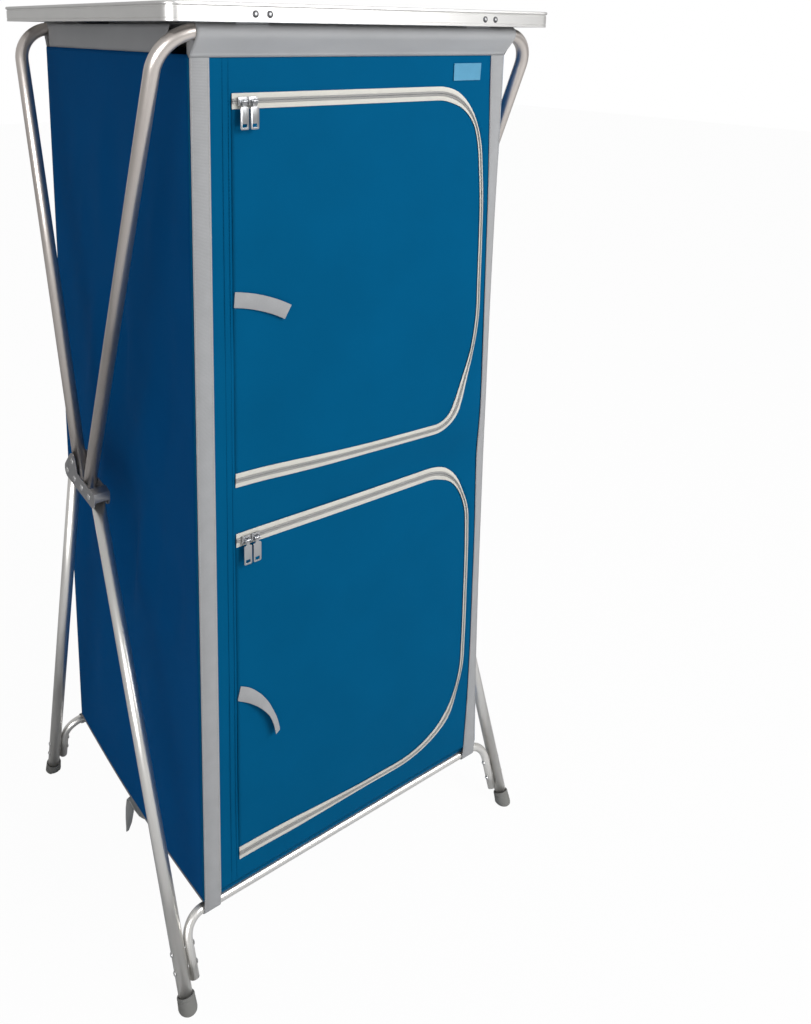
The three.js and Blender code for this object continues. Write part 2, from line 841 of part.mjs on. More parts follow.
function clipShape(face, bar, behind) {
  const plateOuter = face * (clipWallY - clearance);
  const plateInner = face * (clipWallY - clearance - clipPlate);
  const wallInner = bar.x + face * (sleeveOuter + clearance);
  const wallOuter = wallInner + face * clipThickness;
  const farInner = bar.x - face * (sleeveOuter + clearance);
  const farOuter = farInner - face * clipThickness;
  const plateTop = clipRivetZ + clipRivetHeadRadius;
  const bottom = topBarHeight - clipDrop;
  const shelf = flangeTop + clearance;
  const hug = [0, clipThickness].map((layer) => {
    const reach = (sleeveOuter + clearance + layer) * Math.SQRT1_2;
    return [bar.x + face * reach, topBarHeight + reach];
  });
  const points = [
    [plateOuter, shelf],
    [plateOuter, plateTop],
    [plateInner, plateTop],
    [plateInner, clipTop],
  ];
  if (behind) {
    points.push([farOuter, clipTop], [farOuter, bottom], [farInner, bottom], [farInner, saddleTop]);
    points.push([wallInner, saddleTop], [wallInner, bottom], [wallOuter, bottom]);
  } else {
    const turnDown = bar.x + face * (sleeveOuter + clearance) * Math.tan(Math.PI / 8);
    points.push([farInner, clipTop], [farInner, saddleTop], [turnDown, saddleTop], ...hug);
  }
  points.push([wallOuter, shelf]);
  return polygon(points);
}

// The two rivets that hold a clip to the table edge, their heads outside
function clipRivets(face, side) {
  const railOuter = tableDepth / 2 - railFace;
  const plateInner = clipWallY - clearance - clipPlate;
  return [-1, 1].map((half) => {
    const body = rivet(
      plateInner, railOuter, new THREE.Vector2(0, 0),
      clipRivetRadius, clipRivetHeadRadius, edgeLipOverhang,
    );
    body.rotateZ((face * Math.PI) / 2);
    body.translate(side * clipOffset + (half * clipRivetSpacing) / 2, 0, clipRivetZ);
    return body;
  });
}

for (const [end, face, bar, behind] of [["front", -1, frontBar, false], ["rear", 1, rearBar, true]]) {
  for (const [name, side] of sides) {
    const x = side * clipOffset;
    const body = extrudeInWidth(clipShape(face, bar, behind), x - clipWidth / 2, x + clipWidth / 2);
    add(`${end}_table_clip_${name}`, join(body, ...clipRivets(face, side)), steel);
  }
}

// Doors: the centre line of each zip, from the hinge line over its rounded corners and back
const upperDoorTop = cabinetTop - upperDoorInset;
const upperDoorBottom = doorSplit + upperDoorGap;
const lowerDoorTop = doorSplit - lowerDoorGap;
const lowerDoorBottom = cabinetBottom + lowerDoorInset;
const doors = {
  upper: {
    top: upperDoorTop,
    bottom: upperDoorBottom + doorBottomRise,
    corners: [
      [doorRight, upperDoorTop, doorTopRadius],
      [doorRight, upperDoorBottom + doorSlantHeight, doorEaseRadius],
      [doorRight - doorSlantInset, upperDoorBottom, doorSlantRadius],
    ],
  },
  lower: {
    top: lowerDoorTop,
    bottom: lowerDoorBottom,
    corners: [
      [doorRight, lowerDoorTop, doorTopRadius],
      [doorRight, lowerDoorBottom, doorBottomRadius],
    ],
  },
};

// The door's line moved outwards by an offset: every corner turns right, so its arc grows
function doorEdge(door, offset, left) {
  const inner = door.corners.map(([x, z]) => new THREE.Vector2(x, z));
  const line = [new THREE.Vector2(left, door.top), ...inner, new THREE.Vector2(left, door.bottom)];
  const edge = [new THREE.Vector2(left, door.top + offset)];
  let leaving;
  door.corners.forEach(([, , radius], i) => {
    const corner = line[i + 1];
    const arriving = corner.clone().sub(line[i]).normalize();
    leaving = line[i + 2].clone().sub(corner).normalize();
    const turn = Math.acos(arriving.dot(leaving));
    const inward = leaving.clone().sub(arriving).normalize();
    const centre = corner.clone().addScaledVector(inward, radius / Math.cos(turn / 2));
    const start = Math.atan2(arriving.x, -arriving.y);
    const steps = Math.ceil((arcSteps * turn) / (Math.PI / 2) - stationTolerance);
    edge.push(...arcPoints(centre, radius + offset, start, start - turn, steps));
  });
  edge.push(new THREE.Vector2(left, door.bottom + offset / leaving.x));
  return edge;
}

function bandShape(door, from, to, left) {
  return new THREE.Shape([...doorEdge(door, to, left), ...doorEdge(door, from, left).reverse()]);
}

// Depths of the layers on the front face, counted forwards from it
const bandFront = -seamGap - zipBandThickness;
const coilFront = bandFront - coilThickness;
const sliderBack = coilFront - seamGap;
const sliderFront = sliderBack - sliderThickness;
const pullPinDepth = sliderFront - earReach;
const zipLeft = hingeX + zipStart;
const webbingX = halfCabinet - webbingInset - webbingWidth;
const clothEdge = coilWidth / 2 + seamGap;

// Front cover: the cloth around both doors
function frontCover() {
  const shape = polygon([
    [-halfCabinet, cabinetBottom],
    [halfCabinet, cabinetBottom],
    [halfCabinet, cabinetTop],
    [-halfCabinet, cabinetTop],
  ]);
  for (const door of Object.values(doors)) {
    shape.holes.push(new THREE.Path(doorEdge(door, clothEdge, hingeX).reverse()));
  }
  return onFront(extrudeInDepth(shape, 0, clothThickness));
}
add("front_cover", frontCover(), blueCloth);

function zipHalf(door, sign) {
  const near = sign * (seamGap / 2);
  const edge = sign * (coilWidth / 2);
  const far = sign * (zipBandWidth / 2);
  const band = extrudeInDepth(bandShape(door, ...ordered(near, far), zipLeft), bandFront, -seamGap);
  const coil = extrudeInDepth(
    bandShape(door, ...ordered(near, edge), zipLeft), coilFront, bandFront + zipBandThickness / 2,
  );
  const beside = block(
    webbingX - seamGap, halfCabinet, coilFront - cutOverrun, 0, cabinetBottom, cabinetTop,
  );
  return onFront(cut(join(band, coil), beside));
}

// A door is one sheet of cloth that swings on its sewn left edge
function doorSheet(door) {
  const shape = new THREE.Shape(doorEdge(door, -clothEdge, hingeX + seamGap));
  return onFront(extrudeInDepth(shape, 0, clothThickness));
}

// A tie is a webbing strip sewn upright at the hinge line, hanging in a curve across the door
function doorTie(height, radius, angles) {
  const [from, to] = angles.map((angle) => Math.PI / 2 - angle);
  const seam = radius * Math.cos(from);
  const centre = new THREE.Vector2(zipLeft - seam, height - radius * Math.sin(from));
  const [outer, inner] = [radius + tieWidth / 2, radius - tieWidth / 2];
  const shape = new THREE.Shape([
    ...arcPoints(centre, outer, Math.acos(seam / outer), to),
    ...arcPoints(centre, inner, to, Math.acos(seam / inner)),
  ]);
  return onFront(extrudeInDepth(shape, -seamGap - tieThickness, -seamGap));
}

// Slider: a plate over the coil with two ears and a cross pin for its pull
function slider(door, x) {
  const z = door.top;
  const plate = block(
    x - sliderLength / 2, x + sliderLength / 2, sliderFront, sliderBack,
    z - sliderWidth / 2, z + sliderWidth / 2,
  );
  const pinCentre = new THREE.Vector2(pullPinDepth, z);
  const ears = [-1, 1].map((side) => {
    const [x0, x1] = ordered(
      x + side * (knuckleWidth / 2 + clearance),
      x + side * (knuckleWidth / 2 + clearance + earThickness),
    );
    const root = new THREE.Vector2(sliderFront + earRadius / 2, z);
    return discPlate([[pinCentre, earRadius], [root, earRadius]], x0, x1);
  });
  const half = knuckleWidth / 2 + clearance + earThickness / 2;
  const pin = crossPin(pullPinRadius, x - half, x + half, pinCentre, rivetSides);
  return onFront(join(plate, ...ears, pin));
}

// Pull: a knuckle round the slider's pin, a neck, and a tab with a window
function pull(door, x) {
  const z = door.top;
  const pinCentre = new THREE.Vector2(pullPinDepth, z);
  const [k0, k1] = [x - knuckleWidth / 2, x + knuckleWidth / 2];
  const knuckle = crossPin(knuckleRadius, k0, k1, pinCentre, knuckleSides);
  const y0 = pullPinDepth - pullThickness / 2;
  const y1 = pullPinDepth + pullThickness / 2;
  const neck = block(k0, k1, y0, y1, z - pullNeck - pullThickness, z);
  const tabTop = z - pullNeck;
  const tabBottom = tabTop - pullLength;
  const corner = pullWindowRim / 2;
  const [left, right] = [x - pullWidth / 2, x + pullWidth / 2];
  const tabShape = polygon([
    [left, tabBottom + corner], [left + corner, tabBottom],
    [right - corner, tabBottom], [right, tabBottom + corner],
    [right, tabTop - corner], [right - corner, tabTop],
    [left + corner, tabTop], [left, tabTop - corner],
  ]);
  const windowBottom = tabBottom + pullWindowRim;
  const [w0, w1] = [x - pullWindowWidth / 2, x + pullWindowWidth / 2];
  tabShape.holes.push(new THREE.Path([
    [w0, windowBottom], [w0, windowBottom + pullWindowHeight],
    [w1, windowBottom + pullWindowHeight], [w1, windowBottom],
  ].map(([a, b]) => new THREE.Vector2(a, b))));
  const tab = extrudeInDepth(tabShape, y0, y1);
  const bore = crossPin(pullPinRadius + clearance, k0 - cutOverrun, k1 + cutOverrun, pinCentre, rivetSides);
  return onFront(cut(join(knuckle, neck, tab), bore));
}

const firstSliderX = zipLeft + sliderInset + sliderLength / 2;
const ties = {
  upper: [upperDoorTop - upperTieDrop, upperTieRadius, upperTieAngles],
  lower: [lowerDoorTop - lowerTieDrop, lowerTieRadius, lowerTieAngles],
};
for (const [name, door] of Object.entries(doors)) {
  add(`${name}_zip_outer`, zipHalf(door, 1), zipCloth);
  add(`${name}_door`, doorSheet(door), blueCloth);
  add(`${name}_zip_inner`, zipHalf(door, -1), zipCloth);
  add(`${name}_door_tie`, doorTie(...ties[name]), greyWebbing);
  [["left", firstSliderX], ["right", firstSliderX + sliderPitch]].forEach(([hand, x]) => {
    add(`${name}_slider_${hand}`, slider(door, x), brightSteel);
    add(`${name}_pull_${hand}`, pull(door, x), brightSteel);
  });
}

// Label patch: a bare woven patch near the top right corner
add(
  "label_patch",
  onFront(block(
    halfCabinet - labelSideInset - labelWidth, halfCabinet - labelSideInset,
    -seamGap - labelThickness, -seamGap,
    cabinetTop - labelTopInset - labelHeight, cabinetTop - labelTopInset,
  )),
  labelCloth,
);

// Back cover: one plain sheet
add(
  "back_cover",
  onBack(extrudeInDepth(
    polygon([
      [-halfCabinet, cabinetBottom],
      [halfCabinet, cabinetBottom],
      [halfCabinet, cabinetTop],
      [-halfCabinet, cabinetTop],
    ]),
    -clothThickness,
    0,
  )),
  blueCloth,
);

// Bands: grey cloth from the top of each cover up and over the top bar
function barBand(face, bar) {
  const lapDepth = faceDepth(cabinetTop) + seamGap + bandThickness / 2;
  const lap = new THREE.Vector2(face * lapDepth, cabinetTop - bandLap);
  const turnUp = new THREE.Vector2(face * lapDepth, cabinetTop);
  const radius = sleeveInner + bandThickness / 2;
  const farSide = face < 0 ? -Math.PI * 2 : Math.PI;
  const meeting = tangentAngle(turnUp, bar, radius, face);
  const wrap = arcPoints(bar, radius, meeting, farSide, arcSteps * 2);
  const shape = stripShape([lap, turnUp, ...wrap], bandThickness);
  const half = halfCabinet - bandSideInset;
  return outward(extrudeInWidth(shape, -half, half));
}
add("front_band", barBand(-1, frontBar), greyCloth);
add("back_band", barBand(1, rearBar), greyCloth);

// Webbing down each corner, looped forwards and back under the lower crossbar
function webbing(side, face, pivot, foot) {
  const bar = atHeight(foot, pivot, lowerBarHeight);
  const radius = barRadius + clearance + webbingThickness / 2;
  const layer = seamGap + webbingThickness / 2;
  const top = cabinetTop - bandLap - seamGap;
  const hem = new THREE.Vector2(face * (faceDepth(cabinetBottom) + layer), cabinetBottom);
  const inside = face < 0 ? Math.PI * 2 : -Math.PI;
  const route = [
    new THREE.Vector2(face * (faceDepth(top) + layer), top),
    hem,
    ...arcPoints(bar, radius, tangentAngle(hem, bar, radius, -face), inside, arcSteps * 2),
  ];
  const [x0, x1] = ordered(side * webbingX, side * (webbingX + webbingWidth));
  return extrudeInWidth(stripShape(route, webbingThickness), x0, x1);
}
for (const [end, face, pivot, foot] of [
  ["front", -1, frontLegPivot, frontFoot],
  ["back", 1, rearLegPivot, rearFoot],
]) {
  for (const [name, side] of sides) {
    add(`${end}_webbing_${name}`, webbing(side, face, pivot, foot), greyWebbing);
  }
}

// Side panels: hung cloth with a few soft upright folds, lower in front than behind
const sidePanelTop = cabinetTop + bandLap / 2;
const frontBarBelow = atHeight(frontFoot, frontLegPivot, lowerBarHeight);

function sidePanelPoint(side, inward) {
  return (u, v) => {
    const bottom = cabinetBottom - clothSlackBelow * Math.sin(Math.PI * u);
    const z = bottom + (sidePanelTop - bottom) * v;
    const reach = faceDepth(z) - clothThickness - seamGap;
    const y = -reach + 2 * reach * u;
    const calm = Math.sin(Math.PI * u) * Math.sin(Math.PI * v);
    const ripple = clothRipple * Math.sin(foldCount * 2 * Math.PI * u);
    const x = halfCabinet - calm * (clothBow + ripple) - inward;
    return new THREE.Vector3(side * x, y, z);
  };
}
for (const [name, side] of sides) {
  add(
    `side_panel_${name}`,
    sheetSolid(foldColumns, foldRows, sidePanelPoint(side, 0), sidePanelPoint(side, clothThickness)),
    blueCloth,
  );
}

// Side bands: grey cloth above the side panels, just inside them
const sideBandOuter = halfCabinet - clothThickness - seamGap;
const sideBandRear = rearBarReach - sleeveOuter - clearance;
const sideBandFront = frontBarReach - sleeveOuter - webbingWidth * 2;
for (const [name, side] of sides) {
  const shape = polygon([
    [-sideBandFront + sideBandSlant, cabinetTop - bandLap],
    [sideBandRear, cabinetTop - bandLap],
    [sideBandRear, tableUnderside - clipThickness],
    [-sideBandFront, tableUnderside - clipThickness],
  ]);
  const [x0, x1] = ordered(side * sideBandOuter, side * (sideBandOuter - bandThickness));
  add(`side_band_${name}`, extrudeInWidth(shape, x0, x1), greyCloth);
}

// Shelves: stiffened cloth decks sewn in between the covers, and a floor on the lower crossbars
const shelfHalf = halfCabinet - shelfSideGap;

function deck(bottom, thickness) {
  const top = bottom + thickness;
  const reachBelow = faceDepth(bottom) - clothThickness - seamGap;
  const reachAbove = faceDepth(top) - clothThickness - seamGap;
  const shape = polygon([
    [-reachBelow, bottom],
    [reachBelow, bottom],
    [reachAbove, top],
    [-reachAbove, top],
  ]);
  return extrudeInWidth(shape, -shelfHalf, shelfHalf);
}
shelfShares.forEach((share, i) => {
  const level = cabinetBottom + cabinetHeight * share;
  add(`shelf_${i + 1}`, deck(level, shelfThickness), blueCloth);
});
const floorUnderside = frontBarBelow.y + barRadius + clearance;
add("floor_deck", deck(floorUnderside, shelfThickness), blueCloth);

// Storage strap: a loose webbing tail sewn under the left side, for binding the folded cupboard
function storageStrap() {
  const x1 = -halfCabinet + clothBow + clothRipple + clothThickness + seamGap * 2;
  const top = floorUnderside - seamGap - webbingThickness / 2;
  const route = [
    new THREE.Vector2(-strapRun, top),
    new THREE.Vector2(0, top - strapDip),
    new THREE.Vector2(strapLoopReach, top - strapLoopRise),
    new THREE.Vector2(strapTailReach, top - strapDip),
    new THREE.Vector2(strapEndReach, top - strapEndDrop),
  ];
  const shape = stripShape(route, webbingThickness);
  return extrudeInWidth(shape, x1, x1 + webbingWidth);
}
add("storage_strap", storageStrap(), greyWebbing);

export default cupboard;
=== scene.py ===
# %% [markdown]
# A folding camp cupboard: crossed aluminium tubes, a hung cloth cabinet with two zipped doors,
# and a flat top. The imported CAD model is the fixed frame, so every piece below goes where the
# CAD says. This lesson dresses it piece by piece, from the camera to the last stitch.
# %% load the frame
from bisect import bisect_left
from math import acos, atan2, cos, pi, radians, sin, tan
import bmesh
import bpy
from mathutils import Matrix, Vector, noise


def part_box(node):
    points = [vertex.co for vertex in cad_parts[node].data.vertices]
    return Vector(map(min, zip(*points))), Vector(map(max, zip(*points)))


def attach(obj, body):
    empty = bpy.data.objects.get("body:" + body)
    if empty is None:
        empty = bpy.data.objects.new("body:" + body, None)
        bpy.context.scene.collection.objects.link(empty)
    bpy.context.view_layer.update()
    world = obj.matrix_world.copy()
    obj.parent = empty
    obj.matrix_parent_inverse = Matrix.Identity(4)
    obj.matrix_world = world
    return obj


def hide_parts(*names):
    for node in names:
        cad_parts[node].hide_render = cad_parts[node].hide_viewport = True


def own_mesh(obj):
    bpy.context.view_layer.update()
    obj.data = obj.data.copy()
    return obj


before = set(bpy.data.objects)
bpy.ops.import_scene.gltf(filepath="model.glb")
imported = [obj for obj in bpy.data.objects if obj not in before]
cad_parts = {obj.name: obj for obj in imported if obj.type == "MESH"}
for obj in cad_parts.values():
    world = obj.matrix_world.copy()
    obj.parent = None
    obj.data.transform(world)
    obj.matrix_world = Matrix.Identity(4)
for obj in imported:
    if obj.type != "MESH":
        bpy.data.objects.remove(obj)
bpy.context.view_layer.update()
MM = 0.001

# %% [markdown]
# The camera stands a little to the left of the cupboard, at the height of its top, and looks
# slightly down. Its lens is shifted so that upright edges keep the lean that the picture has.
# %% camera
EYE = Vector((-0.7515, -1.2488, 1.2898))
AHEAD = Vector((0.5983, 0.7807, -0.1804)).normalized()
UPWARD = Vector((0.1002, 0.1505, 0.9835))
IMAGE_WIDTH = 811
IMAGE_HEIGHT = 1024
FOCAL_PIXELS = 956
CENTRE_PIXEL = (376.7, 206.7)
SENSOR = 36


def link(name, data):
    made = bpy.data.objects.new(name, data)
    bpy.context.scene.collection.objects.link(made)
    return made


def posed(place, x, y, z):
    """A matrix that takes the origin to a place and the axes onto three directions."""
    return Matrix.Translation(place) @ Matrix((x, y, z)).transposed().to_4x4()


def aim_camera():
    sideways = AHEAD.cross(UPWARD).normalized()
    data = bpy.data.cameras.new("camera")
    data.sensor_width = SENSOR
    data.lens = FOCAL_PIXELS / IMAGE_HEIGHT * SENSOR
    data.shift_x = (IMAGE_WIDTH / 2 - CENTRE_PIXEL[0]) / IMAGE_HEIGHT
    data.shift_y = (CENTRE_PIXEL[1] - IMAGE_HEIGHT / 2) / IMAGE_HEIGHT
    data.clip_start = 0.01
    eye = link("camera", data)
    eye.matrix_world = posed(EYE, sideways, sideways.cross(AHEAD), -AHEAD)
    bpy.context.scene.camera = eye


aim_camera()
print("camera at", EYE)

# %% [markdown]
# Shader nodes are easier to read as sums. A Wire wraps one socket, and its operators add the
# Math nodes. Every other node comes from the one node method of a Finish, which is a material
# or the sky.
# %% shader helpers
class Wire:
    def __init__(self, finish, socket):
        self.finish = finish
        self.socket = socket

    def maths(self, operation, other):
        return self.finish.node("ShaderNodeMath", {"operation": operation}, {0: self, 1: other})

    def __add__(self, other):
        return self.maths("ADD", other)

    __radd__ = __add__

    def __mul__(self, other):
        return self.maths("MULTIPLY", other)

    __rmul__ = __mul__


class Finish:
    def __init__(self, name, world=False):
        self.holder = bpy.data.worlds.new(name) if world else bpy.data.materials.new(name)
        self.holder.use_nodes = True
        self.tree = self.holder.node_tree
        self.surface = self.tree.nodes["Background" if world else "Principled BSDF"]

    def node(self, kind, settings=None, inputs=None, output=0):
        made = self.tree.nodes.new(kind)
        for key, value in (settings or {}).items():
            setattr(made, key, value)
        for key, value in (inputs or {}).items():
            self.feed(made.inputs[key], value)
        return Wire(self, made.outputs[output])

    def feed(self, socket, value):
        if isinstance(value, Wire):
            self.tree.links.new(value.socket, socket)
        else:
            socket.default_value = value

    def looks(self, **values):
        for key, value in values.items():
            name = key.replace("_", " ").title().replace("Ior", "IOR")
            self.feed(self.surface.inputs[name], value)

    def mix(self, factor, first, second):
        return self.node("ShaderNodeMix", {"data_type": "RGBA"}, {0: factor, 6: first, 7: second}, 2)

    def place(self, source="UV", stretch=(1, 1, 1)):
        spot = self.node("ShaderNodeTexCoord", output=source)
        return self.node("ShaderNodeMapping", None, {"Vector": spot, "Scale": stretch})

    def noise(self, place, scale, detail=3, roughness=0.5):
        inputs = {"Vector": place, "Scale": scale, "Detail": detail, "Roughness": roughness}
        return self.node("ShaderNodeTexNoise", None, inputs)

    def split(self, place):
        first = self.node("ShaderNodeSeparateXYZ", None, {0: place})
        return [Wire(self, socket) for socket in first.socket.node.outputs]

    def wave(self, along, pitch):
        return self.node("ShaderNodeMath", {"operation": "SINE"}, {0: along * (2 * pi / pitch)})

    def bump(self, height, depth, strength=1):
        inputs = {"Height": height, "Distance": depth, "Strength": strength}
        self.looks(normal=self.node("ShaderNodeBump", None, inputs))


def linear(level):
    share = level / 255
    return share / 12.92 if share <= 0.04045 else ((share + 0.055) / 1.055) ** 2.4


def colour(red, green, blue):
    return (linear(red), linear(green), linear(blue), 1)


def shade(base, factor):
    return (base[0] * factor, base[1] * factor, base[2] * factor, 1)


# %% [markdown]
# The cloth is a coated polyester weave. It is a blue that varies slightly with the dye, has
# threads about a millimetre apart, and fine creases that the folding has left in it. Threads
# and creases follow the cloth's own flat coordinates, in metres.
# %% cloth finishes
CLOTH_SHINE = 0.02


def make_cloth(name, tint, thread=0.9 * MM, crease=0.5 * MM, gloss=0.62):
    cloth = Finish(name)
    flat = cloth.place()
    across, along, _ = cloth.split(flat)
    weave = cloth.wave(across, thread) * cloth.wave(along, thread)
    clouds = cloth.noise(flat, 9, 4)
    grain = cloth.noise(flat, 900, 2)
    creases = cloth.noise(cloth.place(stretch=(1, 0.45, 1)), 14, 5, 0.6)
    tone = clouds * 0.55 + grain * 0.25 + weave * 0.04
    cloth.looks(base_color=cloth.mix(tone, shade(tint, 0.84), shade(tint, 1.16)),
                roughness=gloss + grain * 0.12, specular_ior_level=CLOTH_SHINE)
    cloth.bump(creases * crease + weave * (0.03 * MM) + grain * (0.05 * MM), 1, 0.8)
    return cloth.holder


def make_woven(name, tint, rib=1.7 * MM):
    webbing = Finish(name)
    flat = webbing.place()
    across, along, _ = webbing.split(flat)
    ribs = webbing.wave(along, rib)
    cords = webbing.wave(across, 1.1 * MM)
    fibres = webbing.noise(webbing.place(stretch=(1, 0.3, 1)), 1500, 2)
    wear = webbing.noise(flat, 40, 4)
    tone = wear * 0.5 + ribs * 0.08 + cords * 0.06 + fibres * 0.3
    webbing.looks(base_color=webbing.mix(tone, shade(tint, 0.8), shade(tint, 1.2)),
                  roughness=0.86, specular_ior_level=CLOTH_SHINE)
    webbing.bump(ribs * (0.12 * MM) + cords * (0.06 * MM) + fibres * (0.1 * MM), 1, 0.7)
    return webbing.holder


blue_cloth = make_cloth("blue_cloth", colour(0, 89, 133))
# The side panels use a copy of the blue cloth, tinted bluer and more saturated for the shade on the sides:
# painted shade.
shaded_side_cloth = make_cloth("shaded_side_cloth", colour(0, 88, 152), crease=0.8 * MM)
grey_cloth = make_cloth("grey_cloth", colour(189, 190, 192), crease=0.3 * MM)
grey_webbing = make_woven("grey_webbing", colour(172, 173, 175))
# The strap's webbing is a lighter copy of the grey webbing, brightened against the shade it hangs in under
# the cupboard: painted light.
lit_strap_webbing = make_woven("lit_strap_webbing", colour(214, 214, 212))
zip_tape = make_woven("zip_tape", colour(228, 226, 218), 0.8 * MM)
blue_thread = make_woven("blue_thread", colour(0, 84, 128), 0.5 * MM)
grey_thread = make_woven("grey_thread", colour(188, 188, 188), 0.5 * MM)
patch_weave = make_woven("patch_weave", colour(104, 168, 202), 0.8 * MM)
print("cloth finishes made")

# %% [markdown]
# The tubes are drawn aluminium, brushed by the die along their length. The brush marks are a
# noise stretched along the tube, so they need the tube's own coordinates too.
# %% metal finishes
def make_brushed(name, tint, gloss):
    metal = Finish(name)
    brush = metal.noise(metal.place(stretch=(1, 0.02, 1)), 700, 4, 0.6)
    stains = metal.noise(metal.place(), 18, 4)
    metal.looks(metallic=0.92, roughness=gloss + brush * 0.1 + stains * 0.08,
                base_color=metal.mix(stains * 0.5 + brush * 0.4, shade(tint, 0.86), shade(tint, 1.1)))
    metal.bump(brush, 0.02 * MM, 0.5)
    return metal.holder


def make_speckled(name, tint, gloss, metallic=0, grain=400, depth=0.05 * MM, contrast=0.12):
    solid = Finish(name)
    spot = solid.place("Object")
    specks = solid.noise(spot, grain, 3, 0.6)
    clouds = solid.noise(spot, 14, 3)
    tone = specks * 0.5 + clouds * 0.5
    solid.looks(metallic=metallic, roughness=gloss + specks * 0.12,
                base_color=solid.mix(tone, shade(tint, 1 - contrast), shade(tint, 1 + contrast)))
    solid.bump(specks, depth, 0.6)
    return solid.holder


# The upper frames and the legs are the same aluminium: the frames get a darker, browner copy as painted
# shade, and the legs a lighter copy as painted light.
shaded_frame_metal = make_brushed("shaded_frame_metal", colour(222, 214, 208), 0.24)
lit_leg_metal = make_brushed("lit_leg_metal", colour(240, 238, 234), 0.22)
rail_metal = make_brushed("rail_metal", colour(224, 223, 221), 0.28)
hinge_metal = make_speckled("hinge_metal", colour(158, 158, 160), 0.34, 0.9, 260)
clip_metal = make_speckled("clip_metal", colour(196, 197, 199), 0.34, 0.9, 260)
rivet_metal = make_speckled("rivet_metal", colour(200, 200, 200), 0.22, 1, 500, 0.02 * MM)
dark_rivet = make_speckled("dark_rivet", colour(92, 92, 94), 0.3, 1, 500, 0.02 * MM)
zip_metal = make_speckled("zip_metal", colour(176, 177, 179), 0.24, 1, 600, 0.02 * MM)
foot_rubber = make_speckled("foot_rubber", colour(128, 128, 125), 0.72, 0, 700, 0.08 * MM)
board_laminate = make_speckled("board_laminate", colour(224, 223, 220), 0.45, 0, 1200, 0.01 * MM, 0.04)
print("metal finishes made")

# %% [markdown]
# A finished piece needs the same few steps each time: turn the bmesh into an object, shade it
# smooth with crisp edges, give it its finish, and say which body it rides on.
# %% keep a piece
def mesh_from(name, bm):
    mesh = bpy.data.meshes.new(name)
    bm.to_mesh(mesh)
    bm.free()
    return mesh


def keep(name, bm, material, body, nodes=(), crisp=35):
    bmesh.ops.recalc_face_normals(bm, faces=bm.faces)
    mesh = mesh_from(name, bm)
    mesh.shade_smooth()
    mesh.set_sharp_from_angle(angle=radians(crisp))
    mesh.materials.append(material)
    piece = link(name, mesh)
    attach(piece, body)
    if nodes:
        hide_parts(*nodes)
    return piece


def thicken(piece, thickness, offset=-1):
    wall = piece.modifiers.new("wall", "SOLIDIFY")
    wall.thickness = thickness
    wall.offset = offset
    wall.use_even_offset = True


# %% [markdown]
# The same few moves on a mesh serve many pieces: turn it to stand somewhere, round its edges,
# spin it from an outline, make a block, and note each corner's place on the flat cloth.
# %% mesh helpers
X_AXIS = Vector((1, 0, 0))
Y_AXIS = Vector((0, 1, 0))
Z_AXIS = Vector((0, 0, 1))
TINY = 0.001 * MM


def move(bm, mat):
    bmesh.ops.transform(bm, matrix=mat, verts=bm.verts)


def standing(place, along):
    turn = Z_AXIS.rotation_difference(along.normalized()).to_matrix().to_4x4()
    return Matrix.Translation(place) @ turn


def round_edges(bm, edges, offset, segments=3, clamped=False):
    bmesh.ops.bevel(bm, geom=edges, offset=offset, offset_type="OFFSET", segments=segments, profile=0.5,
                    affect="EDGES", material=-1, clamp_overlap=clamped)


def spun(outline, steps):
    """An outline of radii and heights, spun round the upright axis."""
    bm = bmesh.new()
    verts = [bm.verts.new((radius, 0, height)) for radius, height in outline]
    edges = [bm.edges.new(pair) for pair in zip(verts, verts[1:])]
    bmesh.ops.spin(bm, geom=verts + edges, cent=(0, 0, 0), axis=(0, 0, 1), angle=2 * pi, steps=steps,
                   use_merge=True)
    bmesh.ops.remove_doubles(bm, verts=bm.verts, dist=TINY)
    return bm


def block(size, middle):
    bm = bmesh.new()
    bmesh.ops.create_cube(bm, size=1, matrix=Matrix.Translation(middle) @ Matrix.Diagonal((*size, 1)))
    return bm


def lay_flat(bm, axes=(0, 2), size=(1, 1)):
    """The place on the flat cloth, in metres, is each corner's UV."""
    sheet_map = bm.loops.layers.uv.new("flat")
    for face in bm.faces:
        for loop in face.loops:
            loop[sheet_map].uv = [loop.vert.co[axis] * share for axis, share in zip(axes, size)]


print("helpers ready")

# %% [markdown]
# Tubes, webbing, zip tape and the table's rail all have one section along a path. The section
# is drawn once and extruded from station to station, square to the path. Each point keeps how
# far round and how far along it is, and these become the piece's UV map in metres. A strip may
# twist, with its own side at each station, and narrow, with its own shares of the section.
# %% sweep a section along a path
def stations(path, sides, closed):
    mats = []
    for i, point in enumerate(path):
        before = path[i - 1] if i or closed else point
        after = path[(i + 1) % len(path)] if i + 1 < len(path) or closed else point
        along = ((point - before).normalized() + (after - point).normalized()).normalized()
        side = sides[i] if isinstance(sides, list) else sides
        side = (side - along * side.dot(along)).normalized()
        mats.append(posed(point, side, along.cross(side), along))
    return mats


def distances(path, closed):
    run = [0]
    points = path + path[:1] if closed else path
    for before, after in zip(points, points[1:]):
        run.append(run[-1] + (after - before).length)
    return run


def on_path(path, run, place):
    """The point at a distance along a path, and the direction there."""
    i = min(max(1, bisect_left(run, place)), len(path) - 1)
    share = (place - run[i - 1]) / (run[i] - run[i - 1])
    return path[i - 1].lerp(path[i], share), (path[i] - path[i - 1]).normalized()


